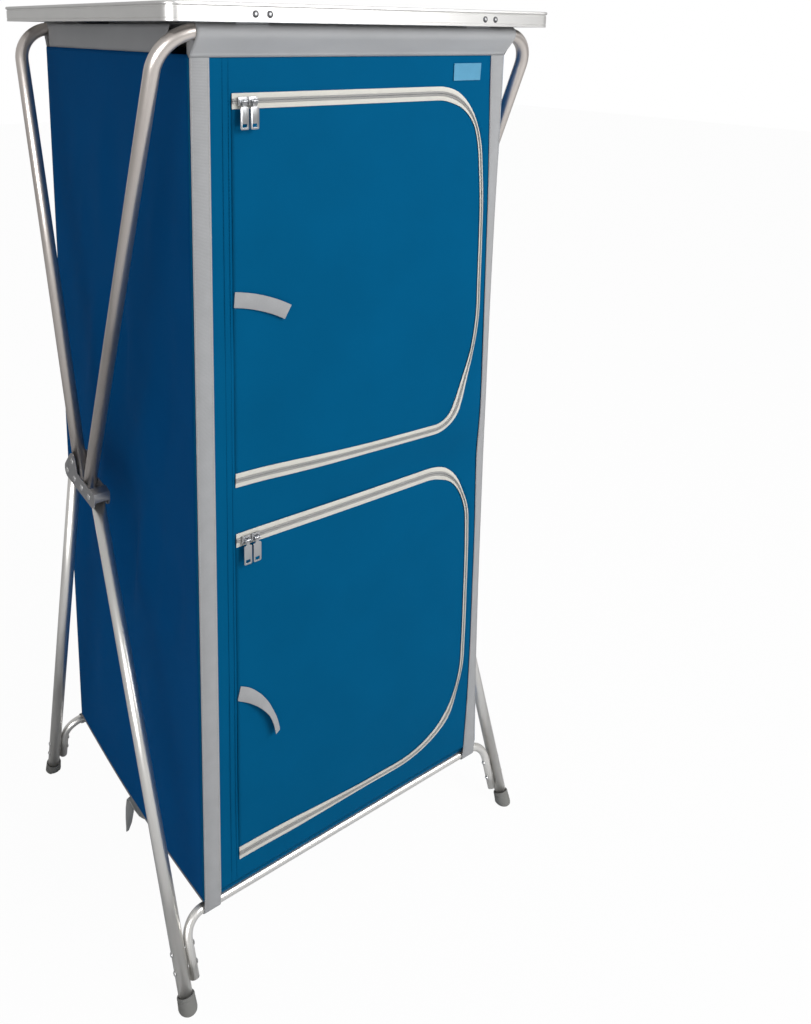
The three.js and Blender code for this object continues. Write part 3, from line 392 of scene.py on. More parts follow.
def sweep(ring, path, sides, closed=False, capped=True, shares=None):
    bm = bmesh.new()
    around = bm.verts.layers.float.new("around")
    along = bm.verts.layers.float.new("along")
    mats = stations(path, sides, closed)
    if shares:
        scales = [Matrix.Diagonal((*share, 1, 1)) for share in shares]
        mats = [mat @ scale for mat, scale in zip(mats, scales)]
    run = distances(path, closed)
    if closed:
        mats.append(mats[0])
    ring_run = distances([Vector((a, b, 0)) for a, b in ring], True)
    verts = []
    for (a, b), reach in zip(ring, ring_run):
        vert = bm.verts.new(mats[0] @ Vector((a, b, 0)))
        vert[around] = reach
        verts.append(vert)
    edges = [bm.edges.new((verts[i - 1], verts[i])) for i in range(len(verts))]
    for before, after, reach in zip(mats, mats[1:], run[1:]):
        made = bmesh.ops.extrude_edge_only(bm, edges=edges)["geom"]
        fresh = [item for item in made if isinstance(item, bmesh.types.BMVert)]
        inside = set(fresh)
        edges = [edge for edge in made if isinstance(edge, bmesh.types.BMEdge)
                 and edge.verts[0] in inside and edge.verts[1] in inside]
        bmesh.ops.transform(bm, matrix=after @ before.inverted(), verts=fresh)
        for vert in fresh:
            vert[along] = reach
    sheet_map = bm.loops.layers.uv.new("flat")
    whole = ring_run[-1]
    for face in bm.faces:
        wraps = max(v[around] for v in face.verts) - min(v[around] for v in face.verts) > whole / 2
        for loop in face.loops:
            place = loop.vert[around]
            if wraps and place < whole / 2:
                place += whole
            loop[sheet_map].uv = (place, loop.vert[along])
    if closed:
        bmesh.ops.remove_doubles(bm, verts=bm.verts, dist=TINY)
    elif capped:
        bmesh.ops.holes_fill(bm, edges=bm.edges, sides=0)
    return bm


def round_ring(radius, sides=28):
    return [(radius * cos(2 * pi * i / sides), radius * sin(2 * pi * i / sides)) for i in range(sides)]


def flat_ring(thickness, low, high, corner):
    """A flat strip's section: thickness along the first axis, from low to high along the second."""
    half = thickness / 2
    return [(-half, low + corner), (-half + corner / 2, low), (half - corner / 2, low),
            (half, low + corner), (half, high - corner), (half - corner / 2, high),
            (-half + corner / 2, high), (-half, high - corner)]


def arcs(corners, radii, steps, offset=0):
    """The inner corners of a path as arcs, each of its own radius and moved outwards by the offset."""
    path = []
    for before, corner, after, radius in zip(corners, corners[1:], corners[2:], radii):
        arriving = (corner - before).normalized()
        leaving = (after - corner).normalized()
        turn = arriving.angle(leaving)
        centre = corner + (leaving - arriving).normalized() * (radius / cos(turn / 2))
        start = (corner - arriving * (radius * tan(turn / 2)) - centre) * (1 + offset / radius)
        axis = arriving.cross(leaving).normalized()
        path += [centre + Matrix.Rotation(turn * i / steps, 3, axis) @ start for i in range(steps + 1)]
    return path


# %% [markdown]
# These are the CAD's own sizes, in metres. A point in the side plane is (depth, height), where
# depth grows to the rear.
# %% sizes
TUBE_X = 0.294
TUBE_RADIUS = 9.5 * MM
TUBE_WALL = 1.2 * MM
BEND = 0.050
BAR_RADIUS = 6.5 * MM
BAR_WALL = 1 * MM
BAR_BEND = 0.028
BAR_END_X = TUBE_X - TUBE_RADIUS - BAR_RADIUS - 0.3 * MM
PLATE_TILT = radians(6)
PITCH = 0.028
PLATE = Vector((-cos(PLATE_TILT), -sin(PLATE_TILT)))
FIXED = Vector((0.0527, 0.640596))
FRONT_FRAME_PIVOT = FIXED + PLATE * PITCH
FRONT_LEG_PIVOT = FIXED + PLATE * (2 * PITCH)
REAR_LEG_PIVOT = FIXED - PLATE * PITCH
REAR_BAR = Vector((0.241, 1.288))
FRONT_BAR = Vector((-0.252, 1.288))
REAR_FOOT = Vector((0.269, 0))
FRONT_FOOT = Vector((-0.258, 0))
LOW_BAR_Z = 0.098
LOW_BAR_END_Z = 0.028
LEG_RIVETS = (0.045, 0.067)
LEG_SETS = [("front", FRONT_LEG_PIVOT, FRONT_FOOT, "front_legs"),
            ("rear", REAR_LEG_PIVOT, REAR_FOOT, "rear_legs")]
HANDS = [("left", -1), ("right", 1)]


def in_space(x, point):
    return Vector((x, point.x, point.y))


def towards(start, end, distance):
    return start + (end - start).normalized() * distance


def at_height(start, end, height):
    return start.lerp(end, (height - start.y) / (end.y - start.y))


FIXING = towards(FIXED, REAR_BAR, 0.025)
print("pivots", FRONT_LEG_PIVOT, FRONT_FRAME_PIVOT, REAR_LEG_PIVOT)

# %% [markdown]
# The upper frames are one tube each, bent over the top bar. The legs are straight, and the
# lower crossbars are thinner tubes bent down inside the legs. Their open ends show, so each is
# a skin that Solidify gives its wall.
# %% tubes
PAST_FIXING = 10 * MM
PAST_FRAME_PIVOT = 7 * MM
PAST_LEG_PIVOT = 7 * MM
ABOVE_FOOT = 7.3 * MM


def make_tube(name, path, radius, wall, side, body, metal):
    bm = sweep(round_ring(radius), path, side, capped=False)
    piece = keep(f"{name}_tube", bm, metal, body, [name])
    thicken(piece, wall)


def make_bow(name, reach, low, high, bend, radius, wall, body, metal):
    """A tube that comes up at one side, bends across and goes down at the other."""
    corners = [in_space(-reach, low), in_space(-reach, high), in_space(reach, high), in_space(reach, low)]
    side = (corners[0] - corners[1]).cross(X_AXIS)
    path = [corners[0], *arcs(corners, [bend, bend], 14), corners[3]]
    make_tube(name, path, radius, wall, side, body, metal)


for end, pivot, bar, past in [("rear", FIXED, REAR_BAR, PAST_FIXING),
                              ("front", FRONT_FRAME_PIVOT, FRONT_BAR, PAST_FRAME_PIVOT)]:
    make_bow(f"{end}_upper_frame", TUBE_X, towards(pivot, bar, -past), bar, BEND, TUBE_RADIUS, TUBE_WALL,
             f"{end}_frame", shaded_frame_metal)
for end, pivot, foot, body in LEG_SETS:
    for hand, sign in HANDS:
        ends = [in_space(sign * TUBE_X, towards(pivot, foot, -PAST_LEG_PIVOT)),
                in_space(sign * TUBE_X, towards(foot, pivot, ABOVE_FOOT))]
        make_tube(f"{end}_leg_{hand}", ends, TUBE_RADIUS, TUBE_WALL, X_AXIS, body, lit_leg_metal)
    make_bow(f"{end}_crossbar", BAR_END_X, at_height(foot, pivot, LOW_BAR_END_Z),
             at_height(foot, pivot, LOW_BAR_Z), BAR_BEND, BAR_RADIUS, BAR_WALL, body, lit_leg_metal)
print("tubes made")

# %% [markdown]
# A foot cap is a rubber cup pushed over the tube, turned here by spinning its outline round
# the leg. The floor cuts it level.
# %% foot caps
CAP_OUTLINE = [(9.6, 16.0), (9.8, 17.5), (10.5, 18.2), (11.5, 17.9), (12.0, 16.8), (12.0, 14.6),
               (11.7, 14.0), (11.7, 13.0), (12.1, 12.4), (12.3, 8.0), (12.6, 3.0), (12.6, -14.0), (0, -14.0)]


def make_foot_cap(name, x, pivot, foot, body):
    bm = spun([(radius * MM, height * MM) for radius, height in CAP_OUTLINE], 40)
    move(bm, standing(in_space(x, foot), in_space(0, pivot) - in_space(0, foot)))
    everything = bm.verts[:] + bm.edges[:] + bm.faces[:]
    cut = bmesh.ops.bisect_plane(bm, geom=everything, plane_co=(0, 0, 0), plane_no=(0, 0, 1),
                                 clear_inner=True)
    rim = [item for item in cut["geom_cut"] if isinstance(item, bmesh.types.BMEdge)]
    bmesh.ops.holes_fill(bm, edges=rim, sides=0)
    round_edges(bm, rim, 2 * MM)
    keep(f"{name}_rubber", bm, foot_rubber, body, [name])


for end, pivot, foot, body in LEG_SETS:
    for hand, sign in HANDS:
        make_foot_cap(f"{end}_foot_cap_{hand}", sign * TUBE_X, pivot, foot, body)
print("foot caps made")

# %% [markdown]
# Rivets have a domed head with a shallow dimple. One is spun from its outline, copied along
# the width or the depth, and placed wherever the CAD sets one.
# %% rivets
HEAD_OUTLINE = [(0, 0.62), (0.22, 0.62), (0.3, 0.78), (0.42, 0.92), (0.62, 0.86), (0.85, 0.55),
                (1, 0.12), (0.98, 0)]
PIVOT_RIVET = (4.6, 2, 2.6)
LEG_RIVET = (3.6, 1.9, 2)
CLIP_RIVET = (4.3, 1.7, 1.8)
CHEEK = TUBE_RADIUS + 2.1 * MM
LEG_RIVET_OUTER = TUBE_X + TUBE_RADIUS - 0.4 * MM
LEG_RIVET_INNER = BAR_END_X - BAR_RADIUS + 0.4 * MM


def add_head(bm, place, outward, radius, height):
    part = spun([(share * radius, rise * height) for share, rise in HEAD_OUTLINE], 24)
    bmesh.ops.holes_fill(part, edges=part.edges, sides=0)
    move(part, standing(place, outward))
    bmesh.ops.recalc_face_normals(part, faces=part.faces)
    mesh = mesh_from("head", part)
    bm.from_mesh(mesh)
    bpy.data.meshes.remove(mesh)


def make_rivets(name, pairs, sizes, body, nodes=(), metal=rivet_metal):
    """Sizes are the head's radius and height and the shank's radius, in millimetres."""
    radius, height, shank = [size * MM for size in sizes]
    bm = bmesh.new()
    for start, end in pairs:
        along = end - start
        add_head(bm, end, along, radius, height)
        add_head(bm, start, -along, radius, height)
        bmesh.ops.create_cone(bm, cap_ends=True, segments=20, radius1=shank, radius2=shank,
                              depth=along.length, matrix=standing((start + end) / 2, along))
    keep(name, bm, metal, body, nodes)


def across_tube(sign, point):
    return in_space(sign * TUBE_X - CHEEK, point), in_space(sign * TUBE_X + CHEEK, point)


for node, point in [("rear_leg_pivot", REAR_LEG_PIVOT), ("front_frame_pivot", FRONT_FRAME_PIVOT),
                    ("front_leg_pivot", FRONT_LEG_PIVOT)]:
    for hand, sign in HANDS:
        make_rivets(f"{node}_{hand}_rivet", [across_tube(sign, point)], PIVOT_RIVET, "rear_frame",
                    [f"{node}_{hand}"])
fixings = [across_tube(sign, point) for _, sign in HANDS for point in (FIXED, FIXING)]
make_rivets("bracket_fixing_rivets", fixings, PIVOT_RIVET, "rear_frame")
for end, pivot, foot, body in LEG_SETS:
    spots = [(sign, at_height(foot, pivot, height)) for _, sign in HANDS for height in LEG_RIVETS]
    pairs = [(in_space(sign * LEG_RIVET_INNER, spot), in_space(sign * LEG_RIVET_OUTER, spot))
             for sign, spot in spots]
    make_rivets(f"{end}_leg_rivets", pairs, LEG_RIVET, body)
print("rivets made")

# %% [markdown]
# The hinge brackets and the table clips are pressed steel. A copy of the CAD solid is merged,
# its flat faces are dissolved, and its edges are bevelled, as a press leaves them.
# %% pressed steel
def make_pressed(node, material, body, edge, suffix="_steel"):
    bm = bmesh.new()
    bm.from_mesh(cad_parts[node].data)
    bmesh.ops.remove_doubles(bm, verts=bm.verts, dist=0.005 * MM)
    bmesh.ops.dissolve_limit(bm, angle_limit=radians(2), verts=bm.verts, edges=bm.edges)
    sharp = [line for line in bm.edges if line.is_manifold and line.calc_face_angle(0) > radians(35)]
    round_edges(bm, sharp, edge, 2, True)
    keep(node + suffix, bm, material, body, [node], 50)


for hand, _ in HANDS:
    make_pressed(f"hinge_bracket_{hand}", hinge_metal, "rear_frame", 0.35 * MM)
    for end in ("front", "rear"):
        make_pressed(f"{end}_table_clip_{hand}", clip_metal, "tabletop", 0.35 * MM)
print("pressed steel made")

# %% [markdown]
# The table's edge is a ribbed aluminium rail, bent round the corners, with a lip that holds
# the board down. The section has the rail's groove and shallow ribs.
# %% table rail and board
TABLE_WIDTH = 0.604
TABLE_DEPTH = 0.572
TABLE_UNDER = 1.298
TABLE_CORNER = 0.019
BOARD_INSET = 3.8 * MM
BOARD_UNDER = 1.3147
BOARD_THICK = 5 * MM
RAIL_SECTION = [
    (1.6, 0.5), (1.6, 3.2), (2.3, 3.5), (2.3, 4.2), (1.6, 4.5), (1.6, 15.6), (2.4, 16.0), (2.4, 17.4),
    (0.9, 17.9), (0.2, 18.8), (0.1, 20.2), (0.6, 21.3), (1.7, 21.9), (3.0, 21.9), (3.5, 21.3), (3.5, 16.3),
    (12.5, 16.3), (12.5, 14.9), (3.5, 14.9), (3.5, 1.5), (18, 1.5), (18, 0.1), (2.1, 0.1),
]
CLIP_RIVET_X = [sign * 0.1795 + half * 0.0095 for sign in (-1, 1) for half in (-1, 1)]
CLIP_RIVET_Z = TABLE_UNDER + 9.5 * MM


def rounded_rectangle(width, depth, radius, height):
    path = []
    for corner, (sx, sy) in enumerate([(1, 1), (-1, 1), (-1, -1), (1, -1)]):
        centre = Vector((sx * (width / 2 - radius), sy * (depth / 2 - radius), height))
        turns = [(corner + step / 10) * pi / 2 for step in range(11)]
        path += [centre + Vector((cos(turn), sin(turn), 0)) * radius for turn in turns]
    return path


def make_table():
    path = rounded_rectangle(TABLE_WIDTH, TABLE_DEPTH, TABLE_CORNER, TABLE_UNDER)
    ring = [(height * MM, -inset * MM) for inset, height in RAIL_SECTION]
    bm = sweep(ring, path, Z_AXIS, closed=True)
    keep("table_rail", bm, rail_metal, "tabletop", ["table_edge_rail"], 30)
    bm = bmesh.new()
    outline = rounded_rectangle(TABLE_WIDTH - 2 * BOARD_INSET, TABLE_DEPTH - 2 * BOARD_INSET,
                                TABLE_CORNER - BOARD_INSET, BOARD_UNDER)
    face = bm.faces.new([bm.verts.new(point) for point in outline])
    grown = bmesh.ops.extrude_face_region(bm, geom=[face])["geom"]
    top = [item for item in grown if isinstance(item, bmesh.types.BMVert)]
    bmesh.ops.translate(bm, verts=top, vec=(0, 0, BOARD_THICK))
    round_edges(bm, [line for line in bm.edges if line.calc_face_angle(0) > radians(60)], 0.6 * MM)
    keep("table_panel", bm, board_laminate, "tabletop", ["table_board"])


make_table()
clip_rivets = [[Vector((x, face * (TABLE_DEPTH / 2 - deep * MM), CLIP_RIVET_Z)) for deep in (5.8, 1.8)]
               for face in (-1, 1) for x in CLIP_RIVET_X]
make_rivets("table_clip_rivets", clip_rivets, CLIP_RIVET, "tabletop", metal=dark_rivet)
print("table made")

# %% [markdown]
# The cabinet's front and back lean outwards a little towards the top. Flat pieces are drawn at
# depth zero and sheared onto that lean, front ones towards -Y.
# %% the cabinet's faces
HALF = 0.253
BOTTOM = 0.117
TOP = 1.260
LEAN = 0.012 / (TOP - BOTTOM)


def face_depth(height):
    return 0.227 + LEAN * (height - BOTTOM)


def lean(side):
    mat = Matrix.Identity(4)
    mat[1][2] = side * LEAN
    mat[1][3] = side * face_depth(0)
    return mat


FRONT = lean(-1)
BACK = lean(1)


def softness(x, z, seed, size=0.16):
    """Smooth unevenness from -1 to 1."""
    return noise.noise(Vector((x / size, z / size, seed)))


# %% [markdown]
# The front is not flat: the shelves and the stiff zips push it out, most of all towards the
# right, where the cloth then turns back to the corner. There the zips are also drawn inwards.
# Smooth curves, across and up, give each of these by their product, in millimetres.
# %% the front's belly
BELLY_ACROSS = [(-197, 0), (-160, 0.04), (-120, 0.3), (-60, 0.7), (0, 0.9), (100, 1), (170, 1),
                (211, 0.75), (229, 0.45), (253, 0)]
BELLY_UP = [(117, 0), (200, 6.5), (300, 9.5), (400, 9), (520, 8), (600, 3.5), (650, 3), (700, 10.5),
            (750, 13), (900, 11), (1050, 8.5), (1150, 4.5), (1206, 1.5), (1260, 0)]
DRAW_ACROSS = [(90, 0), (160, 0.5), (200, 0.95), (219, 1), (232, 0.7), (253, 0)]
DRAW_UP = [(117, 0), (185, 0), (240, 10), (300, 11), (366, 10), (480, 10), (550, 11), (590, 11),
           (636, 5), (690, 0), (742, 1), (787, 5), (900, 7), (1000, 6.5), (1050, 7), (1100, 10),
           (1130, 11.5), (1160, 9), (1206, 4), (1260, 0)]
CORNER_UP = [(117, 0), (300, 0.7), (500, 1), (800, 1), (1000, 0.7), (1150, 0.2), (1260, 0)]
CORNER_TURN = [(226, 0), (253, 8)]
WEBBING_SPREAD = [(226, 3), (251, 0)]


def curve(stops, value):
    """A smooth curve through the stops, level beyond both ends."""
    if value <= stops[0][0]:
        return stops[0][1]
    for i, (end, height) in enumerate(stops[1:], 1):
        if value < end:
            start, low = stops[i - 1]
            before = stops[max(0, i - 2)]
            after = stops[min(len(stops) - 1, i + 1)]
            gap = end - start
            slope_in = (height - before[1]) / (end - before[0]) * gap
            slope_out = (after[1] - low) / (after[0] - start) * gap
            t = (value - start) / gap
            rise = t * t * (3 - 2 * t)
            return (low + (height - low) * rise + slope_in * t * (1 - t) ** 2
                    - slope_out * t * t * (1 - t))
    return stops[-1][1]


def forward_at(x, z):
    """How far the front's cloth stands forwards of the flat front."""
    across, up = x / MM, z / MM
    belly = curve(BELLY_ACROSS, across) * curve(BELLY_UP, up)
    return (belly - curve(CORNER_TURN, across) * curve(CORNER_UP, up)) * MM


def front_give(x, z):
    """How the front's cloth moves from its flat place."""
    inwards = curve(DRAW_ACROSS, x / MM) * curve(DRAW_UP, z / MM) * MM
    return Vector((-inwards, -forward_at(x - inwards, z), 0))


def webbing_give(x, z):
    """The right webbing lies on the cloth that turns back, spread a little to the right."""
    outwards = curve(WEBBING_SPREAD, x / MM) * curve(CORNER_UP, z / MM) * MM if x > 0 else 0
    return Vector((outwards, -forward_at(x + outwards, z), 0))


def settle(bm, give=front_give):
    for vert in bm.verts:
        vert.co += give(vert.co.x, vert.co.z)


# %% [markdown]
# A door is cut by its zip: a straight top, a round corner at the right, a wider round corner
# below, and back to the hinge seam at the left. The upper door's lower corner is cut off
# aslant. Each corner is a point with the radius of its arc.
# %% door outlines
HINGE_X = -0.197
DOOR_RIGHT = 0.219
DOORS = {
    "upper": (1.206, 0.720, [(DOOR_RIGHT, 1.206, 0.092), (DOOR_RIGHT, 0.845, 0.250), (0.159, 0.710, 0.045)]),
    "lower": (0.636, 0.161, [(DOOR_RIGHT, 0.636, 0.092), (DOOR_RIGHT, 0.161, 0.140)]),
}


def door_edge(door, offset, left):
    top, bottom, corners = DOORS[door]
    line = [Vector((left, 0, top)), *[Vector((x, 0, z)) for x, z, _ in corners], Vector((left, 0, bottom))]
    last = (line[-1] - line[-2]).normalized()
    return [line[0] + Z_AXIS * offset, *arcs(line, [radius for _, _, radius in corners], 16, offset),
            line[-1] + Z_AXIS * (offset / last.x)]


def sides_of(loop):
    return zip([loop[-1], *loop], loop)


def area_of(loop):
    return abs(sum(start.x * end.z - end.x * start.z for start, end in sides_of(loop))) / 2


def inside(loop, x, z):
    hit = False
    for start, end in sides_of(loop):
        if (end.z > z) != (start.z > z):
            hit ^= x < end.x + (z - end.z) / (start.z - end.z) * (start.x - end.x)
    return hit


def nearest_on(loop, point):
    spots = []
    for start, end in sides_of(loop):
        run = end - start
        share = (point - start).dot(run) / max(run.length_squared, 1e-12)
        spots.append(start + run * min(1, max(0, share)))
    return min(spots, key=lambda spot: (spot - point).length)


# %% [markdown]
# A flat cloth starts as a grid. Cells outside its cut are deleted, its edge is drawn onto the
# cut line, and a function then bends the sheet out of its plane. The flat place stays as UV.
# %% cut cloth from a grid
def grid_sheet(columns, rows, x0=0, x1=1, z0=0, z1=1):
    bm = bmesh.new()
    bmesh.ops.create_grid(bm, x_segments=columns, y_segments=rows, size=0.5)
    for vert in bm.verts:
        vert.co = (x0 + (vert.co.x + 0.5) * (x1 - x0), 0, z0 + (vert.co.y + 0.5) * (z1 - z0))
    return bm


def grid_cloth(x0, x1, z0, z1, cell=5 * MM):
    return grid_sheet(round((x1 - x0) / cell), round((z1 - z0) / cell), x0, x1, z0, z1)


def cut_cloth(bm, loop, keep_inside):
    edge_before = {vert for vert in bm.verts if vert.is_boundary}
    middles = [(face, face.calc_center_median()) for face in bm.faces]
    doomed = [face for face, middle in middles if inside(loop, middle.x, middle.z) != keep_inside]
    bmesh.ops.delete(bm, geom=doomed, context="FACES")
    for vert in bm.verts:
        if vert.is_boundary and (keep_inside or vert not in edge_before):
            vert.co = nearest_on(loop, vert.co)


def finish_cloth(bm, shape, size=(1, 1)):
    lay_flat(bm, size=size)
    for vert in bm.verts:
        vert.co = shape(vert.co.x, vert.co.z)


# %% [markdown]
# The front cloth hangs from the top bar and is pulled straight by the webbing at its corners,
# with faint hollows beside the doors. The back one hangs likewise and bulges a little.
# %% front and back cloth
DOOR_CUT = 3.5 * MM
CLOTH_THICK = 1.2 * MM


def pull_flat(x, z):
    """How free the cloth is: 0 at the webbing and the hems, 1 in the middle."""
    across = max(0, 1 - (abs(x) / HALF) ** 6)
    up = max(0, 1 - abs(2 * (z - BOTTOM) / (TOP - BOTTOM) - 1) ** 8)
    return across * up


def front_shape(x, z):
    dent = softness(x, z, 1.5) * 1.1 * MM + softness(x, z, 4.5, 0.05) * 0.25 * MM
    return FRONT @ Vector((x, (0.9 * MM + dent) * pull_flat(x, z), z)) + front_give(x, z)


def back_shape(x, z):
    dent = softness(x, z, 8.5, 0.22) * 4 * MM + softness(x, z, 9.5, 0.07) * 1 * MM
    return BACK @ Vector((x, (dent + 3 * MM) * pull_flat(x, z), z))


def make_covers():
    bm = grid_cloth(-HALF, HALF, BOTTOM, TOP)
    area = 2 * HALF * (TOP - BOTTOM)
    for door in DOORS:
        loop = door_edge(door, DOOR_CUT, HINGE_X)
        cut_cloth(bm, loop, False)
        area -= area_of(loop)
    finish_cloth(bm, front_shape)
    cover = keep("front_cloth_cover", bm, blue_cloth, "front_cloth", ["front_cover"])
    thicken(cover, CLOTH_THICK)
    bm = grid_cloth(-HALF, HALF, BOTTOM, TOP, 10 * MM)
    finish_cloth(bm, back_shape)
    cover = keep("back_cloth_cover", bm, blue_cloth, "back_cloth", ["back_cover"])
    thicken(cover, CLOTH_THICK)


make_covers()
print("front and back cloth made")

# %% [markdown]
# Each door is its own leaf of the same cloth. The lower one shows soft diagonal creases below
# its zip, where it is a little slack.
# %% doors
def door_shape(door):
    top, bottom, _ = DOORS[door]
    slack = 2.4 * MM if door == "lower" else 1.5 * MM

    def shape(x, z):
        across = (x - HINGE_X) / (DOOR_RIGHT - HINGE_X)
        up = (z - bottom) / (top - bottom)
        free = max(0, sin(pi * min(1, max(0, across)))) * max(0, sin(pi * min(1, max(0, up))))
        slope = softness(x * 0.8 + z * 0.6, z * 0.8 - x * 0.6, 3.5, 0.09)
        fine = softness(x + z * 0.5, z * 0.4, 6.5, 0.035) * max(0, up - 0.3)
        dent = (1 * MM + slack * slope + 0.7 * MM * fine) * free ** 0.5
        return FRONT @ Vector((x, dent, z)) + front_give(x, z)

    return shape


def make_door(door):
    left = HINGE_X + 0.3 * MM
    loop = door_edge(door, -DOOR_CUT, left)
    bottom = min(point.z for point in loop)
    top = max(point.z for point in loop)
    bm = grid_cloth(left, DOOR_RIGHT - DOOR_CUT, bottom, top)
    cut_cloth(bm, loop, True)
    finish_cloth(bm, door_shape(door))
    leaf = keep(f"{door}_door_cloth", bm, blue_cloth, f"{door}_door_leaf", [f"{door}_door"])
    thicken(leaf, CLOTH_THICK)
    area_of(loop)


for door in DOORS:
    make_door(door)
print("doors made")

# %% [markdown]
# A zip is two woven tapes with a coil sewn along the edge of each. Both follow the door's
# outline in the cloth's plane, are sheared onto the front, and give way with its cloth.
# %% zips
TAPE_LEFT = HINGE_X + 0.4 * MM
NARROWED = 0.66
BOTTOM_NARROWING = {"upper": 0.3, "lower": 0.68}


def make_coil_finish():
    coil = Finish("zip_coil")
    across, along, _ = coil.split(coil.place())
    teeth_relief_and_shade = coil.wave(along + across * 0.35, 1.5 * MM)
    # The coil is painted darker in the hollows between its turns and lighter on their crests, in step with
    # their bump: painted shade.
    tint = coil.mix(teeth_relief_and_shade * 0.5 + 0.5, colour(146, 146, 146), colour(206, 205, 202))
    coil.looks(base_color=tint, roughness=0.42)
    coil.bump(teeth_relief_and_shade, 0.35 * MM)
    return coil.holder


# Thickness, corner, inner edge, outer edge and distance before the cloth, in millimetres
ZIP_PARTS = [("tape", zip_tape, 1, 0.3, 0.2, 9.5, 0.8), ("coil", make_coil_finish(), 1.7, 0.8, 0.25, 3, 1.75)]


def dense_edge(door):
    path = door_edge(door, 0, TAPE_LEFT)
    dense = []
    for start, end in zip(path, path[1:]):
        steps = max(1, round((end - start).length / (12 * MM)))
        dense += [start.lerp(end, i / steps) for i in range(steps)]
    return dense + [path[-1]]


def share_between(value, start, end):
    return min(1, max(0, (value / MM - start) / (end - start)))


def narrowing(door, path):
    """The cloth hides the tapes' outer edges down the right side and along the bottom."""
    lowest = min(point.z for point in path)
    shares = []
    for point in path:
        right = share_between(point.x - DOOR_RIGHT, -60, -12)
        low = share_between(point.x, -110, 10) * share_between(lowest - point.z, -120, 0)
        shares.append((1, 1 - NARROWED * max(right, BOTTOM_NARROWING[door] * low)))
    return shares


def add_to_front(bm, depth):
    move(bm, FRONT @ Matrix.Translation((0, -depth, 0)))
    settle(bm)


def make_zip(door, part, sign, body):
    path = dense_edge(door)
    name = f"{door}_zip_{part}"
    for kind, finish, thick, corner, inner, outer, depth in ZIP_PARTS:
        near, far = sorted((sign * inner * MM, sign * outer * MM))
        ring = flat_ring(thick * MM, near, far, corner * MM)
        bm = sweep(ring, path, Y_AXIS, shares=narrowing(door, path))
        add_to_front(bm, depth * MM)
        keep(f"{name}_{kind}", bm, finish, body, [name] if kind == "tape" else ())


for door in DOORS:
    make_zip(door, "outer", -1, "front_cloth")
    make_zip(door, "inner", 1, f"{door}_door_leaf")
print("zips made")

# %% [markdown]
# Sliders and pulls are small castings. The CAD solids have their shape, so copies of them with
# rounded edges are enough.
# %% sliders and pulls
for door in DOORS:
    for hand, _ in HANDS:
        for part, edge in [("slider", 0.4 * MM), ("pull", 0.25 * MM)]:
            body = f"{door}_{hand}_{part}"
            make_pressed(f"{door}_{part}_{hand}", zip_metal, body, edge, "_cast")
print("sliders and pulls made")

# %% [markdown]
# Webbing runs down each corner of the cabinet and is looped under the lower crossbar. It is
# one flat strip, so it is swept along its route in the side plane.
# %% webbing
WEB_LOW = HALF - 27 * MM
WEB_WIDTH = 25 * MM
WEB_THICK = 1.4 * MM


def arc(centre, radius, start, end, steps=16):
    turns = [start + (end - start) * i / steps for i in range(steps + 1)]
    return [centre + Vector((cos(angle), sin(angle))) * radius for angle in turns]


def tangent_angle(point, centre, radius, turn):
    away = point - centre
    return atan2(away.y, away.x) + turn * acos(radius / away.length)


def webbing_route(side, pivot, foot):
    bar = at_height(foot, pivot, LOW_BAR_Z)
    radius = BAR_RADIUS + 0.3 * MM + WEB_THICK / 2
    layer = 0.3 * MM + WEB_THICK / 2
    top = TOP - 2.3 * MM
    heights = [top + (BOTTOM - top) * i / 60 for i in range(61)]
    route = [Vector((side * (face_depth(z) + layer), z)) for z in heights]
    finish = 2 * pi if side < 0 else -pi
    route += arc(bar, radius, tangent_angle(route[-1], bar, radius, -side), finish)
    return route


WEB_RING = [(b, a) for a, b in flat_ring(WEB_THICK, -WEB_WIDTH / 2, WEB_WIDTH / 2, 0.5 * MM)]
for end, side, pivot, foot, body in [("front", -1, FRONT_LEG_PIVOT, FRONT_FOOT, "front_cloth"),
                                     ("back", 1, REAR_LEG_PIVOT, REAR_FOOT, "back_cloth")]:
    for hand, sign in HANDS:
        middle = sign * (WEB_LOW + WEB_WIDTH / 2)
        path = [in_space(middle, point) for point in webbing_route(side, pivot, foot)]
        bm = sweep(WEB_RING, path, X_AXIS)
        if side < 0:
            settle(bm, webbing_give)
        keep(f"{end}_corner_webbing_{hand}", bm, grey_webbing, body, [f"{end}_webbing_{hand}"])
print("webbing made")

# %% [markdown]
# Each door has a webbing tie sewn upright at its hinge seam. It hangs in a curve across the
# door, and the lower one twists towards its end, with its inner edge forwards.
# %% door ties
TIE_WIDTH = 20 * MM
TIES = {"upper": (0.961, 0.221, 9, 30, 0, 0), "lower": (0.412, 0.101, 25, 84, 27, 0.52)}
TIE_STEPS = 24
TWIST_FROM = 0.12


def make_tie(door):
    height, radius, first, last, twist_angle, curl = TIES[door]
    start = radians(first)
    centre = Vector((TAPE_LEFT - radius * sin(start), 0, height - radius * cos(start)))
    path, sides, shares = [], [], []
    for i in range(TIE_STEPS + 1):
        share = i / TIE_STEPS
        angle = start + radians(last - first) * share
        outward = Vector((sin(angle), 0, cos(angle)))
        turned = min(1, max(0, share - TWIST_FROM) / (1 - TWIST_FROM) * 1.6)
        twist = radians(twist_angle) * turned
        lift = 1 * MM + 1.5 * MM * share + TIE_WIDTH / 2 * sin(twist)
        path.append(centre + outward * radius - Y_AXIS * lift)
        sides.append(Y_AXIS * cos(twist) - outward * sin(twist))
        shares.append((1, 1 - curl * turned))
    bm = sweep(flat_ring(1.1 * MM, -TIE_WIDTH / 2, TIE_WIDTH / 2, 0.4 * MM), path, sides, shares=shares)
    for vert in bm.verts:
        vert.co.x = max(vert.co.x, TAPE_LEFT)
    add_to_front(bm, 0)
    keep(f"{door}_tie_webbing", bm, grey_webbing, f"{door}_door_leaf", [f"{door}_door_tie"])


for door in DOORS:
    make_tie(door)
print("ties made")

